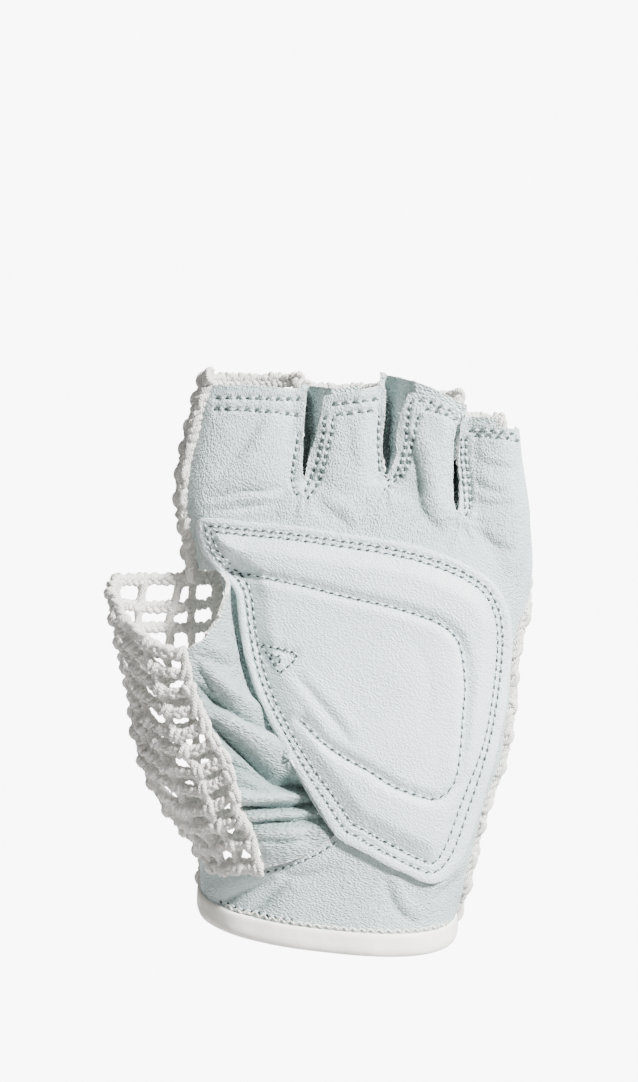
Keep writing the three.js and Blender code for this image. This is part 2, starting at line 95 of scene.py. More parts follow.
# Sections of the finger sleeves: z, middle x, middle y, half width, half depth
FINGERS = {
    "index": [
        (68, -17, 0, 12, 9.4),
        (84, -18.8, -0.3, 13.6, 11),
        (100, -20.4, -0.5, 15, 11.9),
        (113, -19.6, -1, 13.9, 11.2),
        (128, -17.4, -1.8, 12, 10.2),
        (138, -16, -2.4, 11, 9.4),
    ],
    "middle": [
        (68, 4, 0, 11.6, 10.4),
        (84, 4.1, 0, 11, 11.4),
        (100, 4.3, 0, 10.2, 11.9),
        (113, 4.3, -0.5, 9.9, 11.2),
        (128, 4.3, -1.4, 9.6, 10.4),
        (138, 4.3, -2, 9.4, 9.8),
    ],
    "ring": [
        (68, 22.6, 0, 10.6, 9.6),
        (84, 23, 0, 10, 10.8),
        (100, 23.3, 0, 9.3, 11.4),
        (113, 23.2, -0.5, 9.2, 10.7),
        (125.5, 23.1, -1.4, 9.3, 10),
        (136, 23, -2, 9.3, 9.4),
    ],
    "little": [
        (68, 37, 0, 9, 7.6),
        (84, 39, -0.3, 9.4, 9.8),
        (96, 40, -0.5, 8.5, 10.2),
        (106, 39.5, -1, 7.6, 9.4),
        (119.5, 38.8, -1.8, 6.9, 8.7),
        (130, 38.4, -2.4, 6.5, 8.2),
    ],
}

# Fullness of the palm between the fingers, from the slots' feet to the tabs: as the finger sleeves
WEBS = [
    (66, 8, -4.6, 26, 4.2),
    (90, 8, -5.2, 28.5, 4.7),
    (100, 9, -5.2, 29.5, 4.7),
    (113, 9.3, -5.3, 29.2, 4.6),
    (129, 9.5, -5.3, 28.5, 4.2),
]
WEB_POWER = 6

# Sections of the thumb sleeve: z, left, right, middle y, half depth
THUMB = [
    (4, -24, 4, -6, 8),
    (9, -26.5, 3.6, -7, 10.4),
    (15, -29, 2.6, -8, 12),
    (22, -35.2, -1.2, -9.2, 13.6),
    (30, -40.4, -5.6, -10.4, 14.6),
    (41, -44.4, -11.8, -12.2, 15.2),
    (52, -45.8, -17.2, -13.6, 15.2),
    (64, -48.4, -21, -15.4, 14.8),
    (74, -50.4, -22.4, -17, 14.4),
    (86, -50.6, -22.8, -18.8, 13.8),
    (94, -50.6, -23, -20, 13.4),
]

# Rim of the thumb sleeve, from the side: y, z
THUMB_RIM = [
    (-60, 58), (-33, 60.8), (-30.5, 62.8), (-27, 68.4), (-23, 74.4), (-18.5, 78.4), (-12, 80.4), (60, 81.2),
]

# Seams between leather and crochet, from the side: z, y
SEAM_LITTLE_SIDE = [(-60, 1), (0, 0), (8, -5.6), (70, -5.6), (79, 1), (92, 3), (160, 2)]
SEAM_INDEX_SIDE = [(-60, 3), (20, 3), (80, -6.5), (96, -8.4), (104, -9.1), (124, -9.8), (160, -10.4)]

# Chains that edge the nets along the leather: which side of the net, and how far the plies swing
EDGE_CHAINS = {
    "back": (0, 0.62), "index_side": (1, 1.2), "wrist_side": (1, 0.8), "index": (1, 1.15), "little": (0, 0.7),
}

# Wrist opening: its plane through the origin, z = slope_x * x + slope_y * y
WRIST_SLOPE = (-0.11, 0.32)

# Seams from the front: x, z
THUMB_SEAM = [
    (-33, 66), (-32.4, 61.9), (-29.9, 52), (-26.4, 44.2), (-23, 39.1), (-21.1, 32.6), (-19.7, 25.4),
    (-16.6, 18.2), (-14.9, 12),
]
PALM_SEAM = [
    (-21.4, 76.8), (-20.9, 69.6), (-19.4, 61.2), (-16.6, 52.1), (-12.5, 43.7), (-6.5, 32.6), (-2.2, 25.2),
    (1.9, 19.4),
]
GUSSET_HEM = [(1.9, 19.4), (-1.7, 16.8), (-6.5, 14.4), (-11.3, 12.7), (-14.9, 11.8)]
GUSSET_ROW = [(2.4, 18.2), (-1.5, 15.6), (-6.4, 13.2), (-11.2, 11.5), (-14.4, 10.7)]
THUMB_TOP = 81.6

# Outline of the palm's tabs from the index side to the little finger, with the slots between them: x, z
TAB_EDGE = [
    (-60, 125.6), (-24, 125.6), (-18, 125.6), (-11, 124.9), (-7.4, 124.9), (-5.2, 125.1), (-4.7, 123.4),
    (-5.5, 117.6), (-5.8, 110.4), (-5.6, 104.4), (-5.4, 102.6), (-5.1, 104.8), (-4.6, 107.5), (-3.2, 111.6),
    (-1.6, 117.6), (-0.9, 122.6), (0.2, 123.4), (4.3, 123.8), (9.1, 124.6), (13.2, 125.2), (13.9, 123.4),
    (13.8, 118.4), (13.2, 112.3), (13.6, 104.6), (13.9, 103.4), (14.8, 105), (16.6, 109.4), (16.4, 112.2),
    (17.2, 117.6), (18.9, 122.6), (20, 123.6), (23.8, 123), (27.1, 121.7), (30.9, 119.6), (31.2, 118),
    (30.3, 113), (29.9, 108), (30, 100), (30.5, 95.6), (31.2, 96), (31.5, 102), (31.3, 109),
    (31.7, 116.4), (32.6, 117.3), (39.1, 116.2), (44, 115.4), (60, 115.4),
]
# Slots: foot of the slot, for the puckers round it, and the two sewn rows beside it
SLOT_FEET = [(-6, 99.6), (14, 101.8), (31.8, 94.8)]
SLOT_ROWS = [
    [(-0.6, 118.6), (-0.9, 114), (-1.9, 109), (-3.8, 103.7), (-5.4, 99.8)],
    [(1.4, 118.2), (1, 114), (0.1, 110.9), (-1.4, 104.4), (-3.4, 100.1), (-5, 98.4)],
    [(-6.7, 114.6), (-7.6, 109), (-8.3, 103.2), (-7, 98.8)],
    [(20.2, 122.2), (19.3, 119.5), (19, 116.6), (18.4, 110.4), (17.3, 106.3), (16, 103.9), (14.4, 103.1)],
    [(21.8, 118.6), (20.9, 115), (19.9, 110.9), (18.7, 106.2), (17.5, 104.2), (16, 102.8), (13.7, 100.8)],
    [(12.5, 119), (12.1, 112), (12.6, 105)],
    [(31.9, 113.6), (31.9, 108), (32.2, 105.6), (32.5, 102), (32.7, 98.4), (32.5, 95.6)],
    [(33, 113.6), (33, 108), (33.4, 104.9), (33.8, 100.3), (33.7, 96.4), (32.4, 93.9)],
]
HEM_ROWS = [
    [(-27.2, 122.3), (-26, 122.4), (-20, 122.4), (-12, 122.2), (-6.6, 122.2)],
    [(-27.4, 119.9), (-26, 119.9), (-20, 119.6), (-13, 119.2), (-7, 118.4)],
    [(0.4, 120.9), (4.3, 121.2), (9.1, 121.8), (12.6, 122.4)],
    [(1.6, 118.4), (4.3, 118.7), (9.1, 119.3), (12, 119.8)],
    [(21, 122), (24.2, 121.5), (26.6, 120.5), (29, 119.6), (31, 118.6)],
    [(22.4, 119.9), (24.7, 119.6), (27.1, 118.9), (29.3, 118), (31, 117)],
    [(33, 114.7), (36, 114.9), (39, 114.7), (42, 114.3), (45.2, 113.8)],
    [(34.4, 113.5), (37, 113.6), (39, 113.4), (42, 113), (45.2, 112.4)],
]

# Folds in the palm leather and in the gusset: depth, width, then points x, z
PALM_FOLDS = [
    (
        1.4, 2.1,
        [(19, 114.5), (20.9, 106.8), (21.6, 102), (22.3, 97.2), (23.8, 94.6), (25.7, 92.4), (28, 90.5)],
    ),
    (0.7, 1.6, [(-14.6, 119), (-17.4, 114), (-21.4, 108.4), (-26, 104)]),
    (0.85, 1.1, [(-6.6, 102.4), (-13, 100.6), (-20.5, 100.2), (-29.4, 98)]),
    (0.6, 1.0, [(-9, 98), (-16, 97), (-24, 96), (-30, 96)]),
    (0.3, 1.4, [(6, 118), (5.4, 112), (6.6, 105)]),
    (0.6, 1.4, [(-3, 98.6), (2, 95), (6, 91.6)]),
    (0.45, 1.2, [(33.5, 104), (38, 101), (44, 99.8)]),
    (0.4, 1.1, [(33.5, 99), (38, 97.4), (45, 97.6)]),
    (0.35, 1.0, [(34.6, 109), (39, 106.6), (45, 106)]),
    (0.45, 1.2, [(32.6, 92.6), (37, 90), (41, 87), (46, 86)]),
    (1.3, 1.9, [(-27, 1.4), (-22, 4.4), (-17.3, 7), (-12, 9.6)]),
    (1.1, 1.7, [(-22, -1.4), (-18, 1), (-14.4, 3.8), (-9, 8.6)]),
    (0.8, 1.4, [(13.6, 9.6), (15.4, 4.6), (17.4, 1.2), (21.6, -2)]),
    (0.7, 1.4, [(25, 3.4), (29, 7), (34, 11)]),
    (0.6, 1.6, [(-12, 10.4), (-5, 10), (3, 13)]),
]
GUSSET_FOLDS = [
    (3.0, 1.6, [(-30.6, 55.8), (-25.5, 51.8), (-20, 48.2), (-12.6, 44)]),
    (5.4, 2.3, [(-27.8, 47.4), (-21, 41.4), (-14.5, 36), (-7.5, 31.4), (0, 27)]),
    (3.4, 1.4, [(-23.6, 25.8), (-12, 26.4), (-4, 26.6), (3, 26.4)]),
    (2.2, 1.2, [(-21.6, 22), (-12, 22.7), (-4, 23.2), (3, 23.2)]),
    (1.2, 1.3, [(-23, 36.4), (-17, 34.4), (-12.4, 31)]),
    (1.0, 1.2, [(-21.4, 31.6), (-15.4, 30.2), (-9.4, 29)]),
    (1.8, 1.2, [(-30.4, 60.4), (-27.2, 55.6), (-22.6, 49.6)]),
    (0.9, 1.2, [(-16.6, 18.4), (-9, 18.2), (-2.6, 19.6)]),
    (0.9, 1.4, [(-30.6, 62.6), (-25.4, 61), (-21.6, 59)]),
]
PATCH_CREASES = [
    (0.55, 1.3, [(-8, 58), (-2, 51), (3, 45), (6.2, 40.2)]),
    (0.4, 1.2, [(-10.6, 56), (-6, 49.6), (0, 42.2)]),
    (0.25, 2.2, [(20, 66), (24, 56), (22, 44)]),
]

# Padded patch: outline, the D of stitches inside it and the sewn triangle: x, z
PATCH = [
    (-30.5, 93.4), (-26, 93.9), (-20.9, 93.4), (-8.9, 92.2), (3.1, 90.5), (15.1, 88.6), (24.7, 86.2),
    (33.1, 82.8), (39.1, 78.6), (42.4, 72.6), (43.4, 65.3), (42.8, 56.4), (41.2, 45.6), (38.6, 34.8),
    (35.2, 23.5), (31.8, 14.4), (28.4, 9.8), (24.5, 8.2), (20.4, 9.4), (13.9, 12.7), (6.7, 16.8), (2.6, 19.2),
    (-1.4, 25.2), (-5.9, 32.6), (-11.9, 43.7), (-16, 52.1), (-18.8, 61.2), (-20.2, 69.6), (-21.2, 76.3),
    (-24.6, 80.6), (-28.8, 85.4),
]
PATCH_INNER = [
    (-23.8, 81.4), (-14.2, 79.9), (-4.3, 77.8), (4.1, 75.6), (13.9, 73.4), (21.1, 71.3), (26.6, 69.1),
    (30.2, 66.0), (31.7, 61.9), (32.4, 54.7), (31.9, 47.8), (31.2, 38.6), (30.2, 32.9), (28.3, 29.8),
    (25.2, 28.1), (21.1, 29.0), (15.4, 31.2), (9.8, 34.8), (4.1, 37.9), (-1.4, 41.8), (-6.0, 46.6),
]
PATCH_TACK = [(-15.6, 64.3), (-7.2, 61.9), (-11.0, 57.4), (-15.6, 64.3)]
PATCH_TACK_INNER = [(-13.8, 61.9), (-10.8, 61.3), (-12.1, 59.4), (-13.8, 61.9)]

# Folded strips between the fingers: the slot's z, left and right edge, the top edge as x, z, and the foot
STRIPS = {
    "fourchette_index_middle": {
        "slot": [
            (98, -5.6, -5.2), (102.6, -5.5, -5.3), (104.8, -5.6, -5.0), (107.5, -5.7, -4.5),
            (111.6, -5.8, -3.2), (117.6, -5.5, -1.6), (122.6, -5.0, -0.9), (127, -4.8, -0.4),
        ],
        "top": [(-7.4, 126), (-3.4, 125.7), (0.7, 124.9), (4, 124.9), (7.6, 125.8)],
        "foot": 98,
    },
    "fourchette_middle_ring": {
        "slot": [
            (100, 13.8, 14.1), (103.4, 13.7, 14.1), (105, 13.5, 14.7), (109.4, 13.3, 16.5),
            (112.2, 13.2, 16.5), (117.6, 13.8, 17.2), (122.6, 13.9, 18.9), (130, 13.9, 19.5),
        ],
        "top": [(11.2, 129.2), (17.5, 127.5), (24.7, 125), (29.6, 122.6), (33.3, 120.9)],
        "foot": 100,
    },
    "fourchette_ring_little": {
        "slot": [
            (93.4, 30.6, 31.1), (96, 30.4, 31.2), (102, 30, 31.5), (109, 29.9, 31.4), (116.4, 31.2, 31.8),
            (120, 31.3, 32),
        ],
        "top": [(28.8, 119.8), (32, 118.4), (36.7, 118.1), (40.6, 117.8)],
        "foot": 93.4,
    },
}
# From the tabs' feet up, the seams of the fingers lie between these x at their own y
TAB_FEET = 92
FINGER_SIDES = (-19, 39)
BETWEEN_FINGERS = -0.6
# A plane in front of all of the glove, from which its face is looked for
IN_FRONT = -70.0
# Steps between a guide's rings, and between the points of a ply
GUIDE_STEP = 2.0
PLY_STEP = 0.46
# Merging distance for the slivers that clipping leaves
SLIVER = 0.16
# Angles in degrees under which faces are smooth: on sheets, and on cords and stitches
SHEET_ANGLE, ROUND_ANGLE = 50, 80
# Heights over the wrist's plane where the palm and the nets start, and the stitches above the binding
PALM_FOOT, NET_FOOT = 2.4, 3.2
ZIGZAG_LIFT, CUFF_ROW_LIFT = 3.4, 3.9
# Share of the seam stitch's length that the stitches beside the slots have
SLOT_STITCH = 0.86

# Nets: room to the leather's seam, and how far the crossings stray across and up
NET_GAP = 0.9
STRAY = (0.55, 0.5)
# Lengths in which a row's plies, its border's and a post's go once round each other
ROW_LAY, BORDER_LAY, POST_LAYS = 5.2, 3.1, (4.6, 5.4, 6.4)
# The nets on the hand end under the fingers' own nets
NET_TOP = 98.6
HAND_NETS = ("back", "index_side", "wrist_side")
# The fingers' nets: middle, left and right side, top
FINGER_NETS = {
    "index": (-19, -60, -7, 127.4),
    "middle": (4.3, -4.6, 13.1, 125.2),
    "ring": (23.2, 14.9, 31.6, 123.2),
    "little": (39, 32.6, 60, 118),
}

# Section of the binding: out from the wrist as a share of its thickness, up as a share of its height
TAPE = [
    (0.5, 0.1), (0.5, 0.3), (0.44, 0.4), (0.4, 0.47), (0.1, 0.5), (-0.35, 0.48), (-0.5, 0.36), (-0.5, -0.2),
    (-0.46, -0.36), (-0.3, -0.47), (0, -0.5), (0.3, -0.47), (0.46, -0.38), (0.54, -0.22), (0.54, -0.06),
]

# The stage, in metres: each light's place, size, power and spread in degrees, and what they point at
LIGHTS = {
    "key": ((1.1, -0.85, 1.05), 0.35, 8.4, 40),
    "fill": ((0.1, -1.5, 0.4), 1.0, 0.8, 80),
    "top": ((0.3, -0.1, 1.2), 0.8, 1.0, 80),
    "back": ((0.75, 1.1, 0.5), 0.6, 4.0, 80),
}
LIT_POINT = (0, 0, 0.06)
SKY = 0.16
# The middle of the camera's view, and its sensor's width in millimetres
VIEW_X, VIEW_Z = -0.0019, 0.0886
SENSOR = 36


def length_setting(name, description, default):
    return FloatProperty(name=name, description=description, default=default, unit="LENGTH")


def colour_setting(name, description, default):
    return FloatVectorProperty(name=name, description=description, default=default, subtype="COLOR")


class GloveSizes(bpy.types.PropertyGroup):
    mesh_pitch: length_setting("Mesh pitch", "Edge length of the leather's mesh", 0.00055)
    leather: length_setting("Leather", "Thickness of the palm leather", 0.0011)
    padding: length_setting("Padding", "Height of the patch's padding", 0.0015)
    hem_pitch: length_setting("Hem stitch", "Stitch length in the finger hems", 0.0024)
    seam_pitch: length_setting("Seam stitch", "Stitch length in the slots and the patch", 0.0021)
    ply: length_setting("Ply", "Radius of one ply of the crochet cord", 0.00074)
    row: length_setting("Row", "Distance between crochet rows", 0.0064)
    column: length_setting("Column", "Distance between crochet columns", 0.0073)
    binding_height: length_setting("Binding height", "Height of the wrist's binding", 0.0056)
    binding_thick: length_setting("Binding thickness", "Thickness of the wrist's binding", 0.0026)
    seed: IntProperty(name="Seed", description="Start of the crochet's unevenness", default=11)


class GloveColours(bpy.types.PropertyGroup):
    leather: colour_setting("Leather", "Palm leather", (0.52, 0.61, 0.605))
    # The crease colour is painted shade: the leather is darkened towards it in its folds and in its grain's
    # hollows
    crease_shade: colour_setting("Crease", "Leather in its folds", (0.19, 0.26, 0.25))
    cut_edge: colour_setting("Cut edge", "Raw edge of the leather", (0.80, 0.80, 0.76))
    patch: colour_setting("Patch", "Patch leather", (0.69, 0.77, 0.785))
    # Painted shade: the colour of the dark blobs that stand for the shadow in each stitch's dent
    needle_hole_shade: colour_setting("Needle hole", "Shade of a stitch's dent", (0.07, 0.09, 0.09))
    thread: colour_setting("Thread", "Sewing thread", (0.60, 0.68, 0.69))
    cotton: colour_setting("Cotton", "Crochet cord", (0.79, 0.765, 0.72))
    binding: colour_setting("Binding", "Wrist binding", (0.95, 0.92, 0.855))
    cream_thread: colour_setting("Cream thread", "Thread of the binding", (0.80, 0.78, 0.70))


class StageSettings(bpy.types.PropertyGroup):
    floor_height: length_setting("Floor", "Height of the floor under the glove", -0.3)
    backdrop: colour_setting("Backdrop", "Floor and backdrop colour", (0.93, 0.93, 0.93))
    camera_distance: length_setting("Camera distance", "From the camera to the glove", 0.8)
    view_height: length_setting("View height", "Height of what the camera sees", 0.2597)


def in_mm(name):
    """One of the glove's sizes in millimetres."""
    return getattr(bpy.context.scene.glove_sizes, name) / MM


def unit(vectors):
    """Vectors brought to length 1."""
    return vectors / np.maximum(np.linalg.norm(vectors, axis=-1, keepdims=True), 1e-12)


def smooth_step(x, low, high):
    t = np.clip((x - low) / (high - low), 0, 1)
    return t * t * (3 - 2 * t)


def hump(x, width):
    """A smooth hump of height 1 over x = 0."""
    return np.exp(-((x / width) ** 2))


def curve(points, closed=False, step=0.5):
    """A smooth dense line through a table's points."""
    points = np.array(points, float)
    if closed:
        held = np.vstack([points[-1:], points, points[:2]])
    else:
        held = np.vstack([2 * points[0] - points[1], points, 2 * points[-1] - points[-2]])
    parts = []
    for a, b, c, d in zip(held, held[1:], held[2:], held[3:]):
        count = max(2, int(np.linalg.norm(c - b) / step))
        t = np.linspace(0, 1, count, endpoint=False)[:, None]
        square, cube = 2 * a - 5 * b + 4 * c - d, 3 * b - a - 3 * c + d
        parts.append(0.5 * (2 * b + (c - a) * t + square * t**2 + cube * t**3))
    return np.vstack(parts + ([] if closed else [points[-1:]]))


def along(line):
    """Distance from a line's start to each of its points."""
    return np.concatenate([[0], np.cumsum(np.linalg.norm(np.diff(line, axis=0), axis=1))])


def points_along(line, at):
    """Points of a line at distances from its start."""
    s = along(line)
    return np.stack([np.interp(at, s, line[:, k]) for k in range(line.shape[1])], axis=1)


def spaced(line, count):
    """A line's points, moved to equal steps along it."""
    return points_along(line, np.linspace(0, along(line)[-1], count))


def ahead_of(line, at):
    """A line's direction at distances from its start."""
    return points_along(line, at + 0.2) - points_along(line, at - 0.2)


def line_field(points, line, reach):
    """Distance of each point from a line and the place along it, exact up to reach."""
    line = np.asarray(line, float)
    distance = np.full(len(points), float(reach))
    place = np.zeros(len(points))
    low, high = line.min(0) - reach, line.max(0) + reach
    near = np.flatnonzero(((points > low) & (points < high)).all(axis=1))
    start, step = line[:-1], np.diff(line, axis=0)
    length = np.maximum(np.linalg.norm(step, axis=1), 1e-9)
    gone = along(line)[:-1]
    for block in np.array_split(near, max(1, len(near) // 4000)):
        p = points[block][:, None, :]
        t = np.clip(((p - start) * step).sum(2) / length**2, 0, 1)
        d = np.linalg.norm(p - (start + t[..., None] * step), axis=2)
        best = d.argmin(axis=1)
        row = np.arange(len(block))
        distance[block] = np.minimum(d[row, best], reach)
        place[block] = gone[best] + t[row, best] * length[best]
    return distance, place


def inside(points, outline):
    """Which points a closed outline holds."""
    x, z = points[:, 0], points[:, 1]
    held = np.zeros(len(points), bool)
    for (x0, z0), (x1, z1) in zip(outline, np.roll(outline, -1, axis=0)):
        if z0 != z1:
            held ^= ((z0 > z) != (z1 > z)) & (x < (x1 - x0) * (z - z0) / (z1 - z0) + x0)
    return held


def depth_inside(points, outline, reach):
    """Signed distance to a closed outline, positive inside it."""
    distance, _ = line_field(points, np.vstack([outline, outline[:1]]), reach)
    return np.where(inside(points, outline), distance, -distance)


def noise(points, size, seed=0):
    """Smooth random heights from -1 to 1 with bumps of a given size."""
    points = np.asarray(points, float) / size + 13.7 * seed
    cell = np.floor(points).astype(np.int64)
    share = points - cell
    share = share * share * (3 - 2 * share)
    total = np.zeros(len(points))
    primes = np.array([73856093, 19349663, 83492791])[: points.shape[1]]
    for corner in itertools.product((0, 1), repeat=points.shape[1]):
        # A scrambled whole number for each corner of a cell gives the height there
        mixed = ((cell + corner) * primes).sum(axis=1) + seed * 7919
        mixed = (mixed ^ (mixed >> 13)) * 1274126177
        height = ((mixed ^ (mixed >> 16)) & 0xFFFF) / 32767.5 - 1
        total += height * np.prod(np.where(corner, share, 1 - share), axis=1)
    return total


def pleat(points, line, depth, width):
    """Height of a fold along a line: a valley, steep under a roll on its left and gentle on its right."""
    line = curve(line)
    d, place = line_field(points, line, 5 * width)
    gap, ahead = points - points_along(line, place), ahead_of(line, place)
    u = np.where(ahead[:, 0] * gap[:, 1] - ahead[:, 1] * gap[:, 0] > 0, d, -d) / width
    fade = np.sin(np.pi * np.clip(place / along(line)[-1], 0, 1)) ** 0.6
    near = smooth_step(5 * width - d, 0, width)
    valley = np.where(u > 0, np.exp(-np.maximum(u, 0) / 0.45), np.exp(np.minimum(u, 0) / 1.2))
    return depth * fade * near * (0.5 * hump(u - 1.7, 1.1) - valley)


def relief_of(points, folds):
    return sum((pleat(points, line, depth, width) for depth, width, line in folds), np.zeros(len(points)))


def puckers(points, line, pitch, reach, depth, seed):
    """Gathers across a sewn line, which die away from it."""
    d, place = line_field(points, line, 3 * reach)
    ripple = noise(np.stack([place, d * 0.25], axis=1), pitch, seed)
    return depth * ripple * hump(d, reach) * smooth_step(3 * reach - d, 0, reach)


def smooth_rows(rows, step=GUIDE_STEP):
    """A table's rows, resampled on smooth curves through them."""
    rows = np.array(rows, float)
    z, values = rows[:, 0], rows[:, 1:]
    slope = np.gradient(values, z, axis=0)
    at = np.append(np.arange(z[0], z[-1], step), z[-1])
    i = np.clip(np.searchsorted(z, at) - 1, 0, len(z) - 2)
    h = (z[i + 1] - z[i])[:, None]
    t = (at - z[i])[:, None] / h
    made = (
        (2 * t**3 - 3 * t**2 + 1) * values[i]
        + (t**3 - 2 * t**2 + t) * h * slope[i]
        + (3 * t**2 - 2 * t**3) * values[i + 1]
        + (t**3 - t**2) * h * slope[i + 1]
    )
    return np.column_stack([at, made])


def sections(rows, power, sides):
    """Rings of points from rows of z, middle x, middle y, half width and half depth."""
    turn = np.linspace(0, 2 * np.pi, sides, endpoint=False)
    c, s = np.cos(turn), np.sin(turn)
    across, deep = (np.sign(v) * np.abs(v) ** (2 / power) for v in (c, s))
    return [np.column_stack([x + w * across, y + d * deep, np.full(sides, z)]) for z, x, y, w, d in rows]


def hand_rings():
    z, left, right, front, back = smooth_rows(HAND).T
    middle, half = ((left + right) / 2, (front + back) / 2), ((right - left) / 2, (back - front) / 2)
    return sections(np.column_stack([z, *middle, *half]), HAND_POWER, 120)


def thumb_rings():
    z, left, right, y, depth = smooth_rows(THUMB).T
    return sections(np.column_stack([z, (left + right) / 2, y, (right - left) / 2, depth]), 2, 72)


def closed_loft(rings):
    """Vertices and faces of a closed loft through rings of equal count."""
    sides = len(rings[0])
    faces = [tuple(range(sides))[::-1], tuple(range((len(rings) - 1) * sides, len(rings) * sides))]
    for i, k in itertools.product(range(len(rings) - 1), range(sides)):
        a, b = i * sides + k, i * sides + (k + 1) % sides
        faces.append((a, b, b + sides, a + sides))
    return np.vstack(rings), faces


def joined(parts):
    """Vertices and faces of several meshes, as one."""
    vertices, faces, first = [], [], 0
    for v, f in parts:
        vertices.append(v)
        faces += [tuple(i + first for i in face) for face in f]
        first += len(v)
    return np.vstack(vertices), faces


def mesh_object(name, vertices, faces):
    """A new object from millimetre vertices."""
    mesh = bpy.data.meshes.new(name)
    mesh.from_pydata((np.asarray(vertices) * MM).tolist(), [], [tuple(map(int, f)) for f in faces])
    mesh.validate()
    piece = bpy.data.objects.new(name, mesh)
    bpy.context.scene.collection.objects.link(piece)
    return piece


def mesh_arrays(piece):
    """An object's vertices in millimetres and its triangles."""
    mesh = piece.data
    vertices = np.empty(len(mesh.vertices) * 3)
    mesh.vertices.foreach_get("co", vertices)
    mesh.calc_loop_triangles()
    triangles = np.empty(len(mesh.loop_triangles) * 3, np.int32)
    mesh.loop_triangles.foreach_get("vertices", triangles)
    return vertices.reshape(-1, 3) / MM, triangles.reshape(-1, 3)


def used_up(piece):
    """A helper object's arrays, when it is done with."""
    arrays = mesh_arrays(piece)
    bpy.data.objects.remove(piece)
    return arrays


def surface_tree(vertices, triangles):
    return BVHTree.FromPolygons(vertices.tolist(), triangles.tolist())


def make_only(piece):
    """Selects one object alone, so that an operator acts on it."""
    bpy.ops.object.select_all(action="DESELECT")
    piece.select_set(True)
    bpy.context.view_layer.objects.active = piece


def apply_modifier(piece, kind, **settings):
    """Gives a piece a modifier with its settings, and applies it."""
    make_only(piece)
    modifier = piece.modifiers.new(kind.lower(), kind)
    for key, value in settings.items():
        setattr(modifier, key, value)
    bpy.ops.object.modifier_apply(modifier=modifier.name)


def edit_all(piece, operator, **settings):
    """Runs an edit-mode operator on all of a piece."""
    make_only(piece)
    bpy.ops.object.mode_set(mode="EDIT")
    bpy.ops.mesh.select_all(action="SELECT")
    operator(**settings)
    bpy.ops.object.mode_set(mode="OBJECT")


@lru_cache
def guide(with_thumb):
    """The smooth outer form: hand and fingers, with or without the thumb."""
    lofts = [hand_rings()] + [sections(smooth_rows(rows), FINGER_POWER, 60) for rows in FINGERS.values()]
    lofts.append(sections(smooth_rows(WEBS), WEB_POWER, 80))
    if with_thumb:
        lofts.append(thumb_rings())
    piece = mesh_object("guide", *joined(closed_loft(rings) for rings in lofts))
    apply_modifier(piece, "REMESH", mode="VOXEL", voxel_size=bpy.context.scene.glove_sizes.mesh_pitch)
    apply_modifier(piece, "SMOOTH", factor=0.6, iterations=14)
    return used_up(piece)


@lru_cache
def guide_tree(with_thumb):
    return surface_tree(*guide(with_thumb))


def vertex_normals(vertices, triangles):
    a, b, c = (vertices[triangles[:, k]] for k in range(3))
    flat = np.cross(b - a, c - a)
    normals = np.zeros_like(vertices)
    for k in range(3):
        np.add.at(normals, triangles[:, k], flat)
    return unit(normals)


def clip(vertices, triangles, keep):
    """The part of a triangle mesh where keep, a number for each vertex, is positive."""
    keep = np.where(np.abs(keep) < 1e-6, 1e-6, keep)
    held = keep > 0
    count = held[triangles].sum(axis=1)
    parts, edges = [triangles[count == 3]], []
    first = len(vertices)
    for wanted in (1, 2):
        cut = triangles[count == wanted]
        lone = (held[cut] == (wanted == 1)).argmax(axis=1)
        a, b, c = (cut[np.arange(len(cut)), (lone + k) % 3] for k in range(3))
        p = first + sum(len(e) for e in edges) + np.arange(len(cut))
        q = p + len(cut)
        edges += [np.column_stack([a, b]), np.column_stack([a, c])]
        if wanted == 1:
            parts.append(np.column_stack([a, p, q]))
        else:
            parts += [np.column_stack([p, b, c]), np.column_stack([p, c, q])]
    ends = np.sort(np.vstack(edges), axis=1)
    unique, index = np.unique(ends, axis=0, return_inverse=True)
    k0, k1 = keep[unique[:, 0]], keep[unique[:, 1]]
    t = (k0 / (k0 - k1))[:, None]
    made = vertices[unique[:, 0]] * (1 - t) + vertices[unique[:, 1]] * t
    number = np.concatenate([np.arange(first), first + index.ravel()])
    used, triangles = np.unique(number[np.vstack(parts)], return_inverse=True)
    return np.vstack([vertices, made])[used], triangles.reshape(-1, 3)


def tidy(vertices, triangles):
    """Merges the slivers that clipping leaves."""
    piece = mesh_object("sheet", vertices, triangles)
    edit_all(piece, bpy.ops.mesh.remove_doubles, threshold=SLIVER * MM)
    edit_all(piece, bpy.ops.mesh.delete_loose)
    return used_up(piece)


def on_seam(table, z):
    seam = np.array(table)
    return np.interp(z, seam[:, 0], seam[:, 1])


def front_share(vertices):
    """How far each vertex lies in front of the side seams, positive on the palm's side."""
    x, y, z = vertices.T
    seam = np.where(x < 6, on_seam(SEAM_INDEX_SIDE, z), on_seam(SEAM_LITTLE_SIDE, z))
    between = (z > TAB_FEET) & (x > FINGER_SIDES[0]) & (x < FINGER_SIDES[1])
    return np.where(between, BETWEEN_FINGERS, seam) - y


def wrist_plane(x, y, lift=0.0):
    """Height of the wrist's plane at a place, plus a lift."""
    return WRIST_SLOPE[0] * x + WRIST_SLOPE[1] * y + lift


def above_wrist(vertices):
    """How far each vertex lies above the palm's foot."""
    x, y, z = vertices.T
    return z - wrist_plane(x, y, PALM_FOOT)


def thumb_rim(y):
    return on_seam(THUMB_RIM, y)


def hits(tree, places):
    """Where lines along Y through places in x and z first meet a surface, with its normal there."""
    found = []
    for x, z in places:
        spot, normal, *_ = tree.ray_cast(Vector((x, IN_FRONT, z)), Vector((0, 1, 0)))
        found.append((np.array(spot), np.array(normal)) if spot else None)
    return found


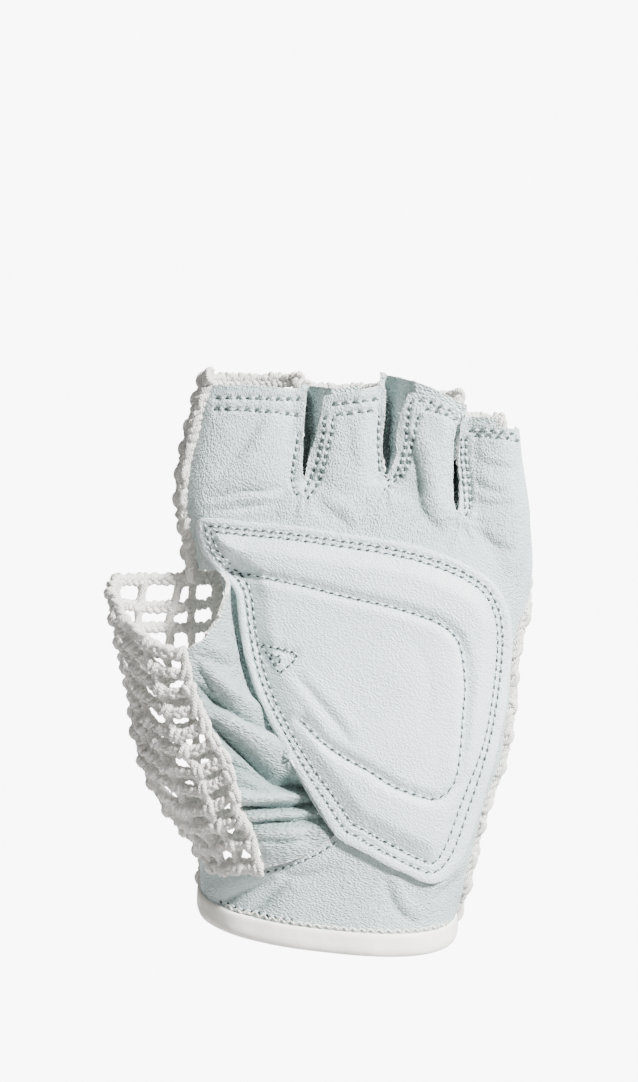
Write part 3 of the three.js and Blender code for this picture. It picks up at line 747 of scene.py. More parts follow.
def open_sides(triangles):
    """The sides of a sheet's triangles that lie on its open edge."""
    sides = np.vstack([triangles[:, [0, 1]], triangles[:, [1, 2]], triangles[:, [2, 0]]])
    _, index, uses = np.unique(np.sort(sides, axis=1), axis=0, return_inverse=True, return_counts=True)
    return sides[uses[index.ravel()] == 1]


def add_attributes(piece, copies=1, **attributes):
    """Values for the material at each vertex, the same for each copy of a sheet in the piece."""
    for name, values in attributes.items():
        attribute = piece.data.attributes.new(name, "FLOAT", "POINT")
        attribute.data.foreach_set("value", np.tile(values, copies).astype(np.float32))


def rim_of(triangles, count):
    """1 at the vertices on a sheet's open edge and 0 at the others."""
    rim = np.zeros(count)
    rim[open_sides(triangles).ravel()] = 1
    return rim


def finish_piece(piece, material, nodes=(), angle=SHEET_ANGLE):
    """Gives a piece its material, its smooth faces and its place in the part."""
    piece.data.materials.clear()
    piece.data.materials.append(material)
    make_only(piece)
    bpy.ops.object.shade_smooth_by_angle(angle=math.radians(angle))
    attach(piece, "root")
    if nodes:
        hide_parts(*nodes)


def leather_sheet(name, vertices, triangles, fold, thickness):
    """A sheet of leather with a wall, its raw edge marked for the material and the painted shade of its
    creases given in fold.
    """
    piece = mesh_object(name, vertices, triangles)
    add_attributes(piece, rim=rim_of(triangles, len(vertices)), fold=np.clip(fold, 0, 1))
    apply_modifier(piece, "SOLIDIFY", thickness=thickness, offset=-1)
    return piece


def blob(length, width, height, rings=5, sides=8):
    """A small pillow shape along X, flat side down."""
    vertices, faces = [(-length / 2, 0, 0)], []
    for i, k in itertools.product(range(1, rings), range(sides)):
        t, a = math.pi * i / rings, 2 * math.pi * k / sides
        across, up = width / 2 * math.sin(t) * math.cos(a), height * math.sin(t) * math.sin(a)
        vertices.append((-length / 2 * math.cos(t), across, up))
    vertices.append((length / 2, 0, 0))
    last = len(vertices) - 1
    for k in range(sides):
        j = (k + 1) % sides
        faces += [(0, 1 + j, 1 + k), (last, last - sides + k, last - sides + j)]
        for i in range(rings - 2):
            a, b = 1 + i * sides + k, 1 + i * sides + j
            faces.append((a, b, b + sides, a + sides))
    return np.array(vertices), faces


def scatter(shape, frames):
    """Copies of a small shape, one for each frame of origin, along, across and out."""
    vertices, faces = shape
    return joined((origin + vertices @ np.array(axes), faces) for origin, *axes in frames)


def row_frames(tree, line, pitch, lift=0.0, slant=0.0, phase=0.5):
    """Frames at equal steps along a row of stitches, on the surface in front."""
    line = curve(line, step=0.25)
    at = np.arange(phase * pitch, along(line)[-1], pitch)
    c, s = math.cos(math.radians(slant)), math.sin(math.radians(slant))
    frames = []
    for hit, (dx, dz) in zip(hits(tree, points_along(line, at)), ahead_of(line, at)):
        if hit is None:
            continue
        spot, n = hit
        n = n if n[1] < 0 else -n
        t = np.array([dx, 0, dz])
        t = unit(t - n * (t @ n))
        b = np.cross(n, t)
        frames.append((spot + lift * n, c * t + s * b, c * b - s * t, n))
    return frames


class Surface:
    """A net's own coordinates over a guide: t from 0 to 1 across it and w from 0 to 1 up it."""

    def __init__(self, points):
        self.points = points
        self.normals = unit(np.cross(np.gradient(points, axis=1), np.gradient(points, axis=0)))
        self.width = along(points[len(points) // 2])[-1]
        self.height = along(points[:, points.shape[1] // 2])[-1]

    def at(self, t, w):
        """Points and normals, past the edges too."""
        rows, columns = self.points.shape[:2]
        i, j = np.asarray(w) * (rows - 1), np.asarray(t) * (columns - 1)
        i0, j0 = (np.clip(np.floor(v).astype(int), 0, n - 2) for v, n in ((i, rows), (j, columns)))
        fi, fj = (i - i0)[:, None], (j - j0)[:, None]

        def mixed(grid):
            low = grid[i0, j0] * (1 - fj) + grid[i0, j0 + 1] * fj
            high = grid[i0 + 1, j0] * (1 - fj) + grid[i0 + 1, j0 + 1] * fj
            return low * (1 - fi) + high * fi

        return mixed(self.points), unit(mixed(self.normals))


def ring_of_hits(tree, centre, heights, turns):
    """Where rays at each turn, in degrees, leave a closed guide."""
    made = []
    for z, turn in zip(heights, np.radians(turns)):
        spot, *_ = tree.ray_cast(Vector((*centre, z)), Vector((math.cos(turn), math.sin(turn), 0)))
        made.append(tuple(spot) if spot else (np.nan,) * 3)
    return np.array(made)


def band(tree, centre, first, last, bottom, top, keep, rows=24, columns=48):
    """A surface between two heights, along the stretch of each ring that keep holds."""
    turns = np.linspace(first, last, 260)
    low = np.full(len(turns), 8.0 if callable(bottom) else bottom)
    if callable(bottom):
        low = bottom(ring_of_hits(tree, centre, low, turns))
    made = []
    for w in np.linspace(0, 1, rows):
        ring = ring_of_hits(tree, centre, low + w * (top - low), turns)
        ring = ring[~np.isnan(ring[:, 0])]
        made.append(spaced(ring[keep(ring)], columns))
    return Surface(np.array(made))


def thumb_surface():
    """The crochet's ground round the outer side of the thumb, from its back edge to its front seam."""
    tree, centre = guide_tree(True), (-27, -8)
    turns = np.linspace(-275, -42, 300)
    seam = np.array(THUMB_SEAM)[::-1]
    low = np.interp(turns, [-275, -180, -100, -60], [14.2, 14.6, 11.6, 11.6])
    high = np.full(len(turns), 66.0)
    for _ in range(4):
        high = thumb_rim(ring_of_hits(tree, centre, high, turns)[:, 1]) - 1.2
    made = []
    for w in np.linspace(0, 1, 28):
        ring = ring_of_hits(tree, centre, low + w * (high - low), turns)
        x, y, z = ring.T
        held = np.where(y < -8, x < np.interp(z, seam[:, 1], seam[:, 0]) - NET_GAP, x < -27)
        made.append(spaced(ring[held & ~np.isnan(x)], 56))
    return Surface(np.array(made))


def back_surfaces():
    """The crochet's grounds on the hand's back and sides and on each finger."""
    tree = guide_tree(False)

    def wrist(ring):
        return wrist_plane(ring[:, 0], ring[:, 1], NET_FOOT)

    def index(ring):
        return ring[:, 1] > on_seam(SEAM_INDEX_SIDE, ring[:, 2]) + NET_GAP

    def little(ring):
        raised = 3.2 * smooth_step(ring[:, 2], 70, 80)
        return ring[:, 1] > on_seam(SEAM_LITTLE_SIDE, ring[:, 2]) + NET_GAP + raised

    def side(ring):
        return (ring[:, 0] < -27) & index(ring)

    made = {
        "back": band(tree, (7, 1), -60, 200, wrist, NET_TOP, lambda r: (r[:, 0] > -27) & little(r)),
        "index_side": band(tree, (-18, 0), 90, 250, 80.0, NET_TOP, side, 8),
        "wrist_side": band(tree, (-18, 0), 90, 250, wrist, 14.2, side, 8),
    }
    for name, (middle, left, right, top) in FINGER_NETS.items():

        def held(ring, left=left, right=right):
            x, y, _ = ring.T
            middle = np.where(x > FINGER_SIDES[1], little(ring), y > BETWEEN_FINGERS)
            return (x > left) & (x < right) & np.where(x < FINGER_SIDES[0], index(ring), middle)

        made[name] = band(tree, (middle, -0.8), -40, 250, NET_TOP, top, held, 12, 36)
    return made


def strand(surface, t, w, side, lift, radius, taper=3):
    """One lumpy ply that follows a path over a ground, off it by millimetres to the side and upwards."""
    points, normals = surface.at(t, w)
    across = np.cross(normals, unit(np.gradient(points, axis=0)))
    points = points + across * np.asarray(side)[:, None] + normals * np.asarray(lift)[:, None]
    rise, sway = 0.16 * noise(points, 2.2, 3), 0.14 * noise(points, 1.7, 5)
    points = points + normals * rise[:, None] + across * sway[:, None]
    sizes = radius * (1 + 0.26 * noise(points, 1.5, 7))
    for k in range(min(taper, len(points) // 2)):
        share = math.sqrt(1 - (1 - (k + 0.5) / (taper + 0.5)) ** 2)
        sizes[k] *= share
        sizes[-1 - k] *= share
    return points, normals, sizes


def uneven(s, length, pitch, spread, rng):
    """Random amounts at a pitch along a length, read at each distance s."""
    at = np.arange(0, length, pitch)
    return np.interp(s, at, rng.normal(0, spread, len(at)))


def three_plies(s, lay, phase):
    """The turns of three plies that go round each other once in a lay."""
    return [2 * np.pi * (s / lay + k / 3) + phase for k in range(3)]


def chain(surface, edge, thick, ply, rng):
    """The plies of the chain that edges a net, up its side at t = 0 or 1."""
    w = np.linspace(0, 1, int(surface.height / PLY_STEP))
    s = w * surface.height
    wander = uneven(s, surface.height + 9, 4.0, 0.3, rng)
    t = abs(edge - (0.8 * thick + wander) / surface.width)
    phase = rng.uniform(0, 6.28)
    swell = 1 + 0.2 * uneven(s, surface.height + 7, 2.6, 1, rng)
    radius = ply * (0.82 + 0.26 * thick)
    return [
        strand(surface, t, w, thick * np.sin(a) * swell, 0.25 + 0.62 * thick * np.sin(2 * a), radius)
        for a in three_plies(s, 3.6 + 2 * thick, phase)
    ]


def net_row(surface, nodes, place, full, lift, ply, rng):
    """The plies of one braided row; place is -1 or 1 where it borders the net below or above, or else 0."""
    width = surface.width
    t = np.linspace(-0.4 / width, 1 + 0.4 / width, int(width / PLY_STEP))
    w = np.convolve(np.pad(np.interp(t, *nodes), 4, mode="edge"), np.ones(9) / 9, mode="valid")
    s = t * width
    phase = rng.uniform(0, 6.28)
    swell = 1 + 0.16 * uneven(s, width + 5, 2.1, 1, rng)
    reach = (1.22 if place else 1.0) * 0.88 * full
    plies = [
        strand(surface, t, w, reach * np.sin(a) * swell, lift + 0.55 * np.sin(2 * a), ply)
        for a in three_plies(s, ROW_LAY, phase)
    ]
    if place:
        a = 2 * np.pi * s / BORDER_LAY + phase
        side = 0.95 * place + 0.35 * np.sin(a)
        plies.append(strand(surface, t, w, side, lift + 0.5 * np.cos(a), ply * 0.95))
    return plies


def net_post(surface, foot, head, full, lift, ply, rng):
    """The plies of one twisted post from a crossing to the one above it; full is how far they stand apart."""
    (t0, w0), (t1, w1) = foot, head
    length = math.hypot((t1 - t0) * surface.width, (w1 - w0) * surface.height)
    u = np.linspace(-0.08, 1.08, max(6, int(length / 0.5)))
    bow = rng.normal(0, 0.35) * np.sin(np.pi * np.clip(u, 0, 1)) / surface.width
    t, w = t0 + (t1 - t0) * u + bow, w0 + (w1 - w0) * u
    phase, turn = rng.uniform(0, 6.28), rng.choice(POST_LAYS)
    reach = full + 0.22 * np.cos(2 * np.pi * u)
    return [
        strand(surface, t, w, reach * np.cos(a), lift + reach * 0.8 * np.sin(a), ply * 0.9, 2)
        for a in three_plies(u * length, turn, phase)
    ]


def net_wraps(surface, t, w, full, lift, ply, rng):
    """The two short loops of cord over a crossing."""
    points, normals = surface.at(np.array([t, t + 0.5 / surface.width]), np.array([w, w]))
    point, out, ahead = points[0], normals[0], unit(points[1] - points[0])
    up = np.cross(out, ahead)
    plies = []
    for side in (-0.75, 0.7):
        a = np.linspace(-0.5, math.pi + 0.5, 9)[:, None] + rng.normal(0, 0.2)
        lean = rng.normal(0.45, 0.45)
        ring = point + up * (1.6 * full * np.cos(a)) + out * (lift + 1.25 * np.sin(a))
        ring = ring + ahead * full * (side + lean * np.cos(a))
        ends = np.sqrt(np.clip(np.sin(np.linspace(0.16, math.pi - 0.16, 9)) * 1.6, 0, 1))
        plies.append((ring, up * np.cos(a) + out * np.sin(a), ply * rng.uniform(0.85, 1.12) * ends))
    return plies


def crochet(surface, rng, border=(False, True), lift=-0.15, full=1.0):
    """The plies of a net: braided rows, twisted posts between them and a wrap at each crossing.

    full is how far the plies stand apart, as a share of the thickest cords.
    """
    rows = max(1, round(surface.height / in_mm("row")))
    columns = max(1, round(surface.width / in_mm("column")))
    ply = in_mm("ply")
    shift_t = rng.normal(0, STRAY[0], (rows + 1, columns + 1)) / surface.width
    shift_w = rng.normal(0, STRAY[1], (rows + 1, columns + 1)) / surface.height
    shift_w[[0, -1]] *= 0.4
    shift_t[:, [0, -1]] = 0
    node_t = np.arange(columns + 1) / columns + shift_t
    node_w = np.arange(rows + 1)[:, None] / rows + shift_w
    row_plies, post_plies = [], []
    for i in range(rows + 1):
        place = 1 if i == rows and border[1] else -1 if i == 0 and border[0] else 0
        row_plies += net_row(surface, (node_t[i], node_w[i]), place, full, lift, ply, rng)
    for i, j in itertools.product(range(rows), range(columns + 1)):
        foot, head = ((node_t[k, j], node_w[k, j]) for k in (i, i + 1))
        apart = full * (0.95 if j in (0, columns) else 0.74)
        post_plies += net_post(surface, foot, head, apart, lift, ply, rng)
    for i, j in itertools.product(range(rows + 1), range(columns + 1)):
        post_plies += net_wraps(surface, node_t[i, j], node_w[i, j], full, lift, ply, rng)
    return row_plies, post_plies


def cord_mesh(name, plies, sides=6):
    """One mesh of closed tubes, mapped in turns round each ply and millimetres along it."""
    vertices, faces, corners, first = [], [], [], 0
    turn = 2 * np.pi * np.arange(sides) / sides
    c, s = np.cos(turn)[None, :, None], np.sin(turn)[None, :, None]
    round_k = np.arange(sides)
    round_j = (round_k + 1) % sides
    for points, normals, sizes in plies:
        ahead = unit(np.gradient(points, axis=0))
        across = unit(np.cross(ahead, normals))
        up = np.cross(across, ahead)
        rings = points[:, None] + sizes[:, None, None] * (c * up[:, None] + s * across[:, None])
        tips = points[[0, -1]] + ahead[[0, -1]] * sizes[[0, -1], None] * [[-0.5], [0.5]]
        vertices += [rings.reshape(-1, 3), tips]
        count, place = len(points), along(points)
        i, k = (g.ravel() for g in np.meshgrid(np.arange(count - 1), round_k, indexing="ij"))
        j = (k + 1) % sides
        quads = np.column_stack([i * sides + k, (i + 1) * sides + k, (i + 1) * sides + j, i * sides + j])
        u0, u1, v0, v1 = k / sides, (k + 1) / sides, place[i], place[i + 1]
        corners.append(np.stack([u0, v0, u0, v1, u1, v1, u1, v0], axis=1).reshape(-1, 2))
        start, lid = np.full(sides, count * sides), (count - 1) * sides
        caps = [[start, round_k, round_j], [start + 1, lid + round_j, lid + round_k]]
        faces += [first + quads] + [first + np.column_stack(cap) for cap in caps]
        corners.append(np.tile([0.5, 0.0], (2 * sides * 3, 1)))
        first += count * sides + 2
    piece = mesh_object(name, np.vstack(vertices), [f for group in faces for f in group.tolist()])
    layer = piece.data.uv_layers.new(name="ply")
    layer.data.foreach_set("uv", np.vstack(corners).astype(np.float32).ravel())
    return piece


class Value:
    """A node's output that takes part in Python arithmetic."""

    def __init__(self, shader, socket):
        self.shader, self.socket = shader, socket

    def __add__(self, other):
        return self.shader.maths("ADD", self, other)

    def __sub__(self, other):
        return self.shader.maths("SUBTRACT", self, other)

    def __rsub__(self, other):
        return self.shader.maths("SUBTRACT", other, self)

    def __mul__(self, other):
        return self.shader.maths("MULTIPLY", self, other)

    def __truediv__(self, other):
        return self.shader.maths("DIVIDE", self, other)

    __radd__ = __add__
    __rmul__ = __mul__


class Shader:
    """A material's nodes, around one Principled shader."""

    def __init__(self, name):
        self.material = bpy.data.materials.get(name) or bpy.data.materials.new(name)
        self.material.use_nodes = True
        self.tree = self.material.node_tree
        self.tree.nodes.clear()
        self.surface = self.node("ShaderNodeBsdfPrincipled").socket.node
        output = self.tree.nodes.new("ShaderNodeOutputMaterial")
        self.tree.links.new(self.surface.outputs[0], output.inputs["Surface"])

    def node(self, kind, settings=None, inputs=None, output=0):
        """A node of a type, with its settings and then its sockets' values or links."""
        node = self.tree.nodes.new(kind)
        for key, value in (settings or {}).items():
            setattr(node, key, value)
        for key, value in (inputs or {}).items():
            self.fill(node.inputs[key], value)
        return Value(self, node.outputs[output])

    def fill(self, socket, value):
        if isinstance(value, Value):
            self.tree.links.new(value.socket, socket)
        else:
            socket.default_value = value

    def finish(self, **values):
        """Fills the shader's own sockets and gives its material."""
        for key, value in values.items():
            self.fill(self.surface.inputs[key.replace("_", " ")], value)
        return self.material

    def maths(self, operation, *values):
        return self.node("ShaderNodeMath", {"operation": operation}, dict(enumerate(values)))

    def place(self):
        return self.node("ShaderNodeTexCoord", output="Object")

    def parts(self, vector):
        split = self.node("ShaderNodeSeparateXYZ", inputs={0: vector}).socket.node
        return [Value(self, split.outputs[k]) for k in range(3)]

    def vector(self, x, y, z):
        return self.node("ShaderNodeCombineXYZ", inputs={0: x, 1: y, 2: z})

    def noise(self, vector, scale, detail=2.0, roughness=0.5):
        inputs = {"Vector": vector, "Scale": scale, "Detail": detail, "Roughness": roughness}
        return self.node("ShaderNodeTexNoise", inputs=inputs)

    def cells(self, vector):
        return self.node("ShaderNodeTexVoronoi", inputs={"Vector": vector, "Scale": 1.0})

    def ramp(self, value, low, high):
        inputs = {"Value": value, "From Min": low, "From Max": high}
        return self.node("ShaderNodeMapRange", {"interpolation_type": "SMOOTHSTEP"}, inputs)

    def blend(self, share, first, second):
        """Two colours mixed."""
        made = self.node("ShaderNodeMix", {"data_type": "RGBA"}, {"Factor": share}, output=2)
        for number, colour in ((6, first), (7, second)):
            self.fill(made.socket.node.inputs[number], colour if isinstance(colour, Value) else (*colour, 1))
        return made

    def attribute(self, name):
        return self.node("ShaderNodeAttribute", {"attribute_name": name}, output="Fac")

    def relief(self, height, depth, strength=1.0):
        return self.node("ShaderNodeBump", inputs={"Height": height, "Distance": depth, "Strength": strength})


def darker(colour, share):
    """A colour at a share of its brightness."""
    return tuple(c * share for c in colour)


def grained_leather(name, colour, directions, depth, hollow_shade=0.3, rim=1.0, pebbles=(1150, 1750)):
    """Thin leather: pebbled grain and fine wrinkles that lie in bands of their own direction, with painted
    shade in its creases and in the grain's hollows.

    directions lists the angle of the grain from +X, in degrees, and the height in metres where each starts.
    depth is the relief's, in metres, hollow_shade is how far painted shade darkens the grain's hollows, and
    rim how far its cut edge is toned.
    pebbles gives the number of pebbles in a metre along and across the grain.
    """
    colours = bpy.context.scene.glove_colours
    shader = Shader(name)
    place = shader.place()
    drift = shader.noise(place, 240, 2)
    x, y, z = shader.parts(place)
    wavy_x, wavy_z = x + (drift - 0.5) * 0.0008, z + (drift - 0.5) * 0.0012
    per_run, per_rise = pebbles
    wrinkle, pebble = None, None
    for angle, height in directions:
        c, s = math.cos(math.radians(angle)), math.sin(math.radians(angle))
        run, rise = wavy_x * c + wavy_z * s, wavy_z * c - wavy_x * s
        stretched = shader.vector(run * per_run * 0.4, y * per_run, rise * per_rise * 0.75)
        lines = shader.noise(stretched, 1.0, 2, 0.5)
        cells = shader.cells(shader.vector(run * per_run, y * per_run, rise * per_rise))
        if wrinkle is None:
            wrinkle, pebble = lines, cells
        else:
            share = shader.ramp(z, height - 0.006, height + 0.006)
            wrinkle = wrinkle * (1 - share) + lines * share
            pebble = pebble * (1 - share) + cells * share
    pebble = 1 - shader.ramp(pebble, 0.1, 0.72)
    tone = shader.ramp(shader.noise(place, 62, 3, 0.6), 0.3, 0.7)
    height = wrinkle * (tone * tone * 0.7 + 0.12) + pebble * (tone * 0.25 + 0.5)
    worn_and_shaded = shader.blend(tone * 0.35, colour, darker(colour, 0.93))
    # Painted shade: the wrinkles' furrows and the gaps between the pebbles are darkened towards the crease
    # colour
    deep = (shader.ramp(1 - wrinkle, 0.45, 0.75) * tone * tone + (1 - pebble) * 0.6) * hollow_shade
    worn_and_shaded = shader.blend(deep, worn_and_shaded, colours.crease_shade)
    # Painted shade along the creases and seams that the fold attribute marks
    worn_and_shaded = shader.blend(shader.attribute("fold"), worn_and_shaded, colours.crease_shade)
    edge = shader.ramp(shader.attribute("rim"), 0.3, 0.9) * rim
    worn_and_shaded = shader.blend(edge, worn_and_shaded, colours.cut_edge)
    rough, normal = 0.46 + wrinkle * 0.14 + edge * 0.2, shader.relief(height, depth)
    return shader.finish(Base_Color=worn_and_shaded, Roughness=rough, Normal=normal, Specular_IOR_Level=0.45)


def cotton_cord():
    """Loosely twisted cotton: slanting filaments, stray fibres, a little unevenness of tone and painted shade
    in the twist's grooves and between the fibres.
    """
    cotton = bpy.context.scene.glove_colours.cotton
    shader = Shader("cotton_cord")
    across, length, _ = shader.parts(shader.node("ShaderNodeTexCoord", output="UV"))
    place = shader.place()
    drift = shader.noise(place, 900, 2)
    turn = (across + length / 1.5) * (2 * math.pi)
    twist = shader.maths("SINE", turn * 3 + drift * 3) * 0.5 + 0.5
    fibres = shader.noise(shader.vector(across * 14 + length * 4.5, length * 1.2, drift), 1.0, 3, 0.7)
    fuzz = shader.noise(place, 4200, 3, 0.7)
    height = twist * 0.55 + fibres * 0.7 + fuzz * 0.45
    tone = shader.ramp(shader.noise(place, 120, 2), 0.3, 0.72)
    colour = shader.blend(tone * 0.5, cotton, darker(cotton, 0.9))
    # Painted shade: the cord is darker in the grooves of its twist and between its fibres
    colour = shader.blend((1 - twist) * 0.22 + (1 - fibres) * 0.26, colour, darker(cotton, 0.62))
    gloss = {"Roughness": 0.94, "Specular_IOR_Level": 0.2, "Sheen_Weight": 0.25, "Sheen_Roughness": 0.6}
    return shader.finish(Base_Color=colour, Normal=shader.relief(height, 0.00022, 0.9), **gloss)


def smooth_tape():
    """The binding: a smooth satin tape with a faint grain and soft dents."""
    binding = bpy.context.scene.glove_colours.binding
    shader = Shader("smooth_tape")
    place = shader.place()
    dents, grain = shader.noise(place, 190, 2), shader.noise(place, 3400, 2)
    colour = shader.blend(shader.ramp(dents, 0.3, 0.75) * 0.4, binding, darker(binding, 0.93))
    normal = shader.relief(dents * 1.4 + grain * 0.12, 0.0004, 0.6)
    return shader.finish(Base_Color=colour, Roughness=0.36 + grain * 0.12, Normal=normal)


def sewing_thread(name, colour, roughness=0.75):
    """Fine twisted thread, or the dark blob of painted shade for the dent it leaves."""
    shader = Shader(name)
    x, y, z = shader.parts(shader.place())
    twist = shader.maths("SINE", (x + z + y) * (2 * math.pi / 0.00042)) * 0.5 + 0.5
    shade = shader.blend(twist * 0.3, colour, darker(colour, 0.7))
    return shader.finish(Base_Color=shade, Roughness=roughness, Normal=shader.relief(twist, 0.00006, 0.6))


def pale_backdrop(colour):
    """A matt floor that glows evenly behind the glove, as a lit studio wall does."""
    shader = Shader("pale_backdrop")
    x, y, z = shader.parts(shader.place())
    away = 1 - shader.ramp(shader.maths("ABSOLUTE", x), 0.52, 0.85)
    spot = shader.ramp(y, 1.1, 1.45) * away * (1 - shader.ramp(z, 0.95, 1.15))
    glow = shader.blend(spot, (0.0, 0.0, 0.0), colour)
    own = {"Base_Color": (*colour, 1), "Roughness": 0.9, "Emission_Strength": 9.0}
    return shader.finish(Emission_Color=glow, **own)


class GLOVE_OT_palm(bpy.types.Operator):
    """Cut the palm with its finger tabs and cuff from the hand's guide, and put creases in it"""

    bl_idname = "glove.palm"
    bl_label = "Palm leather"

    def execute(self, context):
        v, t = guide(False)
        v, t = clip(v, t, front_share(v))
        v, t = clip(v, t, above_wrist(v))
        frayed = (0.14 + 0.2 * smooth_step(v[:, 2], 117, 121)) * noise(v, 3.6, 8)
        tabs = np.vstack([curve(TAB_EDGE, step=0.4), [(60, -60), (-60, -60)]])
        v, t = clip(v, t, depth_inside(v[:, [0, 2]], tabs, 4) + frayed)
        top, foot = [(-60, THUMB_TOP), (-21.8, THUMB_TOP)], [(-19.2, 10.3), (-30, 14.4), (-60, 14.4)]
        window = np.vstack([top, curve(PALM_SEAM), curve(GUSSET_HEM), foot])
        v, t = clip(v, t, -depth_inside(v[:, [0, 2]], window, 4))
        v, t = tidy(v, t)
        flat = v[:, [0, 2]]
        covered = smooth_step(depth_inside(flat, curve(PATCH, True), 6), -0.5, 2.5)
        creases = relief_of(flat, PALM_FOLDS)
        for seed, (x, z) in enumerate(SLOT_FEET):
            r = np.hypot(flat[:, 0] - x, flat[:, 1] - z)
            turn = np.arctan2(flat[:, 1] - z, flat[:, 0] - x)
            ripple = noise(np.column_stack([turn * 4.2, r * 0.12]), 1.0, seed + 3)
            creases += 0.34 * ripple * hump(r - 3.2, 4.2) * smooth_step(-np.sin(turn), -0.35, 0.35)
        hem, slot = in_mm("hem_pitch"), in_mm("seam_pitch") * SLOT_STITCH
        sewn = np.zeros(len(v))
        for rows, pitch, ripple, reach, depth, seed in (
            (HEM_ROWS, hem, 1.5, 3.4, 0.13, 9),
            (SLOT_ROWS, slot, 1.6, 3.0, 0.15, 29),
        ):
            for number, row in enumerate(rows):
                creases += puckers(flat, curve(row), ripple, reach, depth, seed + number)
                d, s = line_field(flat, curve(row), 3)
                beat = np.cos(2 * np.pi * s / pitch)
                sewn = np.minimum(sewn, -(0.45 - 0.3 * beat) * hump(d, 0.55))
                sewn += (0.22 - 0.1 * beat) * hump(d - 1.2, 0.55)
        wavy = (0.22 * noise(v, 9.0, 1) + 0.09 * noise(v, 3.6, 2)) * smooth_step(above_wrist(v), 0, 5)
        height = (creases + wavy) * (1 - covered) + sewn - 0.25 * covered
        v = v + vertex_normals(v, t) * height[:, None]
        # Painted shade in the crease valleys and along the stitch grooves, marked for the crease colour
        fold = smooth_step(-creases, 0.12, 1.1) * 0.62 * (1 - covered) + smooth_step(-sewn, 0.15, 0.5) * 0.2
        piece = leather_sheet("palm_leather_skin", v, t, fold, context.scene.glove_sizes.leather)
        colour, grain = context.scene.glove_colours.leather, [(-16, 0), (-34, 0.02), (62, 0.085)]
        material = grained_leather("palm_leather", colour, grain, 0.00027, 0.17, 0.6, (1500, 2350))
        finish_piece(piece, material, ["palm_leather"])
        return {"FINISHED"}


class GLOVE_OT_gusset(bpy.types.Operator):
    """Cut the thumb gusset from the guide with the thumb, and fold it"""

    bl_idname = "glove.gusset"
    bl_label = "Thumb gusset"

    def execute(self, context):
        v, t = guide(True)
        v, t = clip(v, t, -3.0 - v[:, 1])
        v, t = clip(v, t, thumb_rim(v[:, 1]) - v[:, 2] + 0.5 * noise(v, 2.4, 5))
        left = curve(THUMB_SEAM)
        right = np.vstack([[(-21.6, 84)], curve(PALM_SEAM) + (0.7, -0.3)])
        outline = np.vstack([[(-33, 84)], left, curve(GUSSET_HEM[::-1])[2:], right[::-1]])
        v, t = clip(v, t, depth_inside(v[:, [0, 2]], outline, 5))
        v, t = tidy(v, t)
        flat = v[:, [0, 2]]
        creases = relief_of(flat, GUSSET_FOLDS)
        creases += puckers(flat, left, 2.1, 3.4, 0.34, 41)
        creases += puckers(flat, curve(GUSSET_HEM), 1.9, 3.0, 0.2, 43)
        seam, _ = line_field(flat, curve(PALM_SEAM), 6)
        side, _ = line_field(flat, left, 6)
        tuck = -1.0 * hump(seam, 0.9) - 0.5 * hump(side, 1.2)
        height = creases + tuck + 0.3 * noise(v, 7.0, 4) + 0.12 * noise(v, 3.0, 6)
        v = v + vertex_normals(v, t) * height[:, None]
        # Painted shade in the folds' valleys, and a painted shadow in a band along the seam under the patch's
        # edge
        fold = smooth_step(-creases, 0.1, 1.2) * 0.8 + 0.62 * hump(seam, 0.75)
        thickness = context.scene.glove_sizes.leather * 0.95
        piece = leather_sheet("thumb_gusset_skin", v, t, fold, thickness)
        # The gusset's leather is a darker copy of the palm's: painted shade for its side that turns from the
        # light
        colour, grain = darker(context.scene.glove_colours.leather, 0.74), [(4, 0), (-24, 0.03)]
        material = grained_leather("gusset_leather", colour, grain, 0.00052, 0.4, 1.0, (950, 2100))
        finish_piece(piece, material, ["thumb_gusset"])
        return {"FINISHED"}


def patch_seams(z):
    """Distances of the patch's two sewn rows from its edge: they part towards the wrist."""
    share = smooth_step(-np.asarray(z), -42, -22)
    return 1.85 + 0.55 * share, 3.1 + 1.5 * share


def patch_row(number):
    """One of the patch's sewn rows, without the loops that tight corners make."""
    line = curve(PATCH, True)
    distance = patch_seams(line[:, 1])[number]
    ahead = unit(np.roll(line, -1, axis=0) - np.roll(line, 1, axis=0))
    moved = line + np.column_stack([ahead[:, 1], -ahead[:, 0]]) * distance[:, None]
    real, _ = line_field(moved, np.vstack([line, line[:1]]), 6)
    moved = moved[real > distance - 0.12]
    return np.vstack([moved, moved[:1]])


def patch_height(flat):
    """Height of the patch's face over its ground, in millimetres, and how deep its creases and sewn grooves
    are, which its painted shade follows.
    """
    x, z = flat.T
    padding = in_mm("padding")
    d = depth_inside(flat, curve(PATCH, True), 20)
    inner, _ = line_field(flat, curve(PATCH_INNER), 8)
    tack, _ = line_field(flat, np.array(PATCH_TACK), 6)
    core = smooth_step(depth_inside(flat, np.array(PATCH_INNER), 8), 0, 6)
    first, second = patch_seams(z)
    seams = hump(d - first, 0.45) + hump(d - second, 0.45)
    creases = relief_of(flat, PATCH_CREASES)
    height = 0.92 + 0.2 * smooth_step(d, 0, 0.5) - 0.34 * seams
    height += padding * smooth_step(d, second - 0.1, second + 4.8) * (1 - 0.16 * core)
    height -= 0.62 * padding * hump(inner, 1.35) + 0.25 * padding * hump(tack, 1.1)
    height += 0.16 * noise(flat, 11.0, 3) * smooth_step(d, 3, 9) + creases
    height += puckers(flat, curve(PATCH_INNER), 1.5, 2.6, 0.1, 50)
    height += puckers(flat, np.array(PATCH_TACK), 1.5, 2.6, 0.1, 51)
    height += puckers(flat, patch_row(1), 1.6, 2.4, 0.1, 57)
    # The edge stands off beside the thumb, and a little at the wrist
    loose = hump(d, 2.4) * smooth_step(-x, 9, 17) * smooth_step(z, 44, 58) * smooth_step(-z, -84, -78)
    loose += 0.45 * hump(d, 2.0) * smooth_step(-z, -24, -14) * smooth_step(-x, -30, -24)
    return height + 0.7 * loose, creases - 0.5 * seams - 0.5 * hump(inner, 0.9)


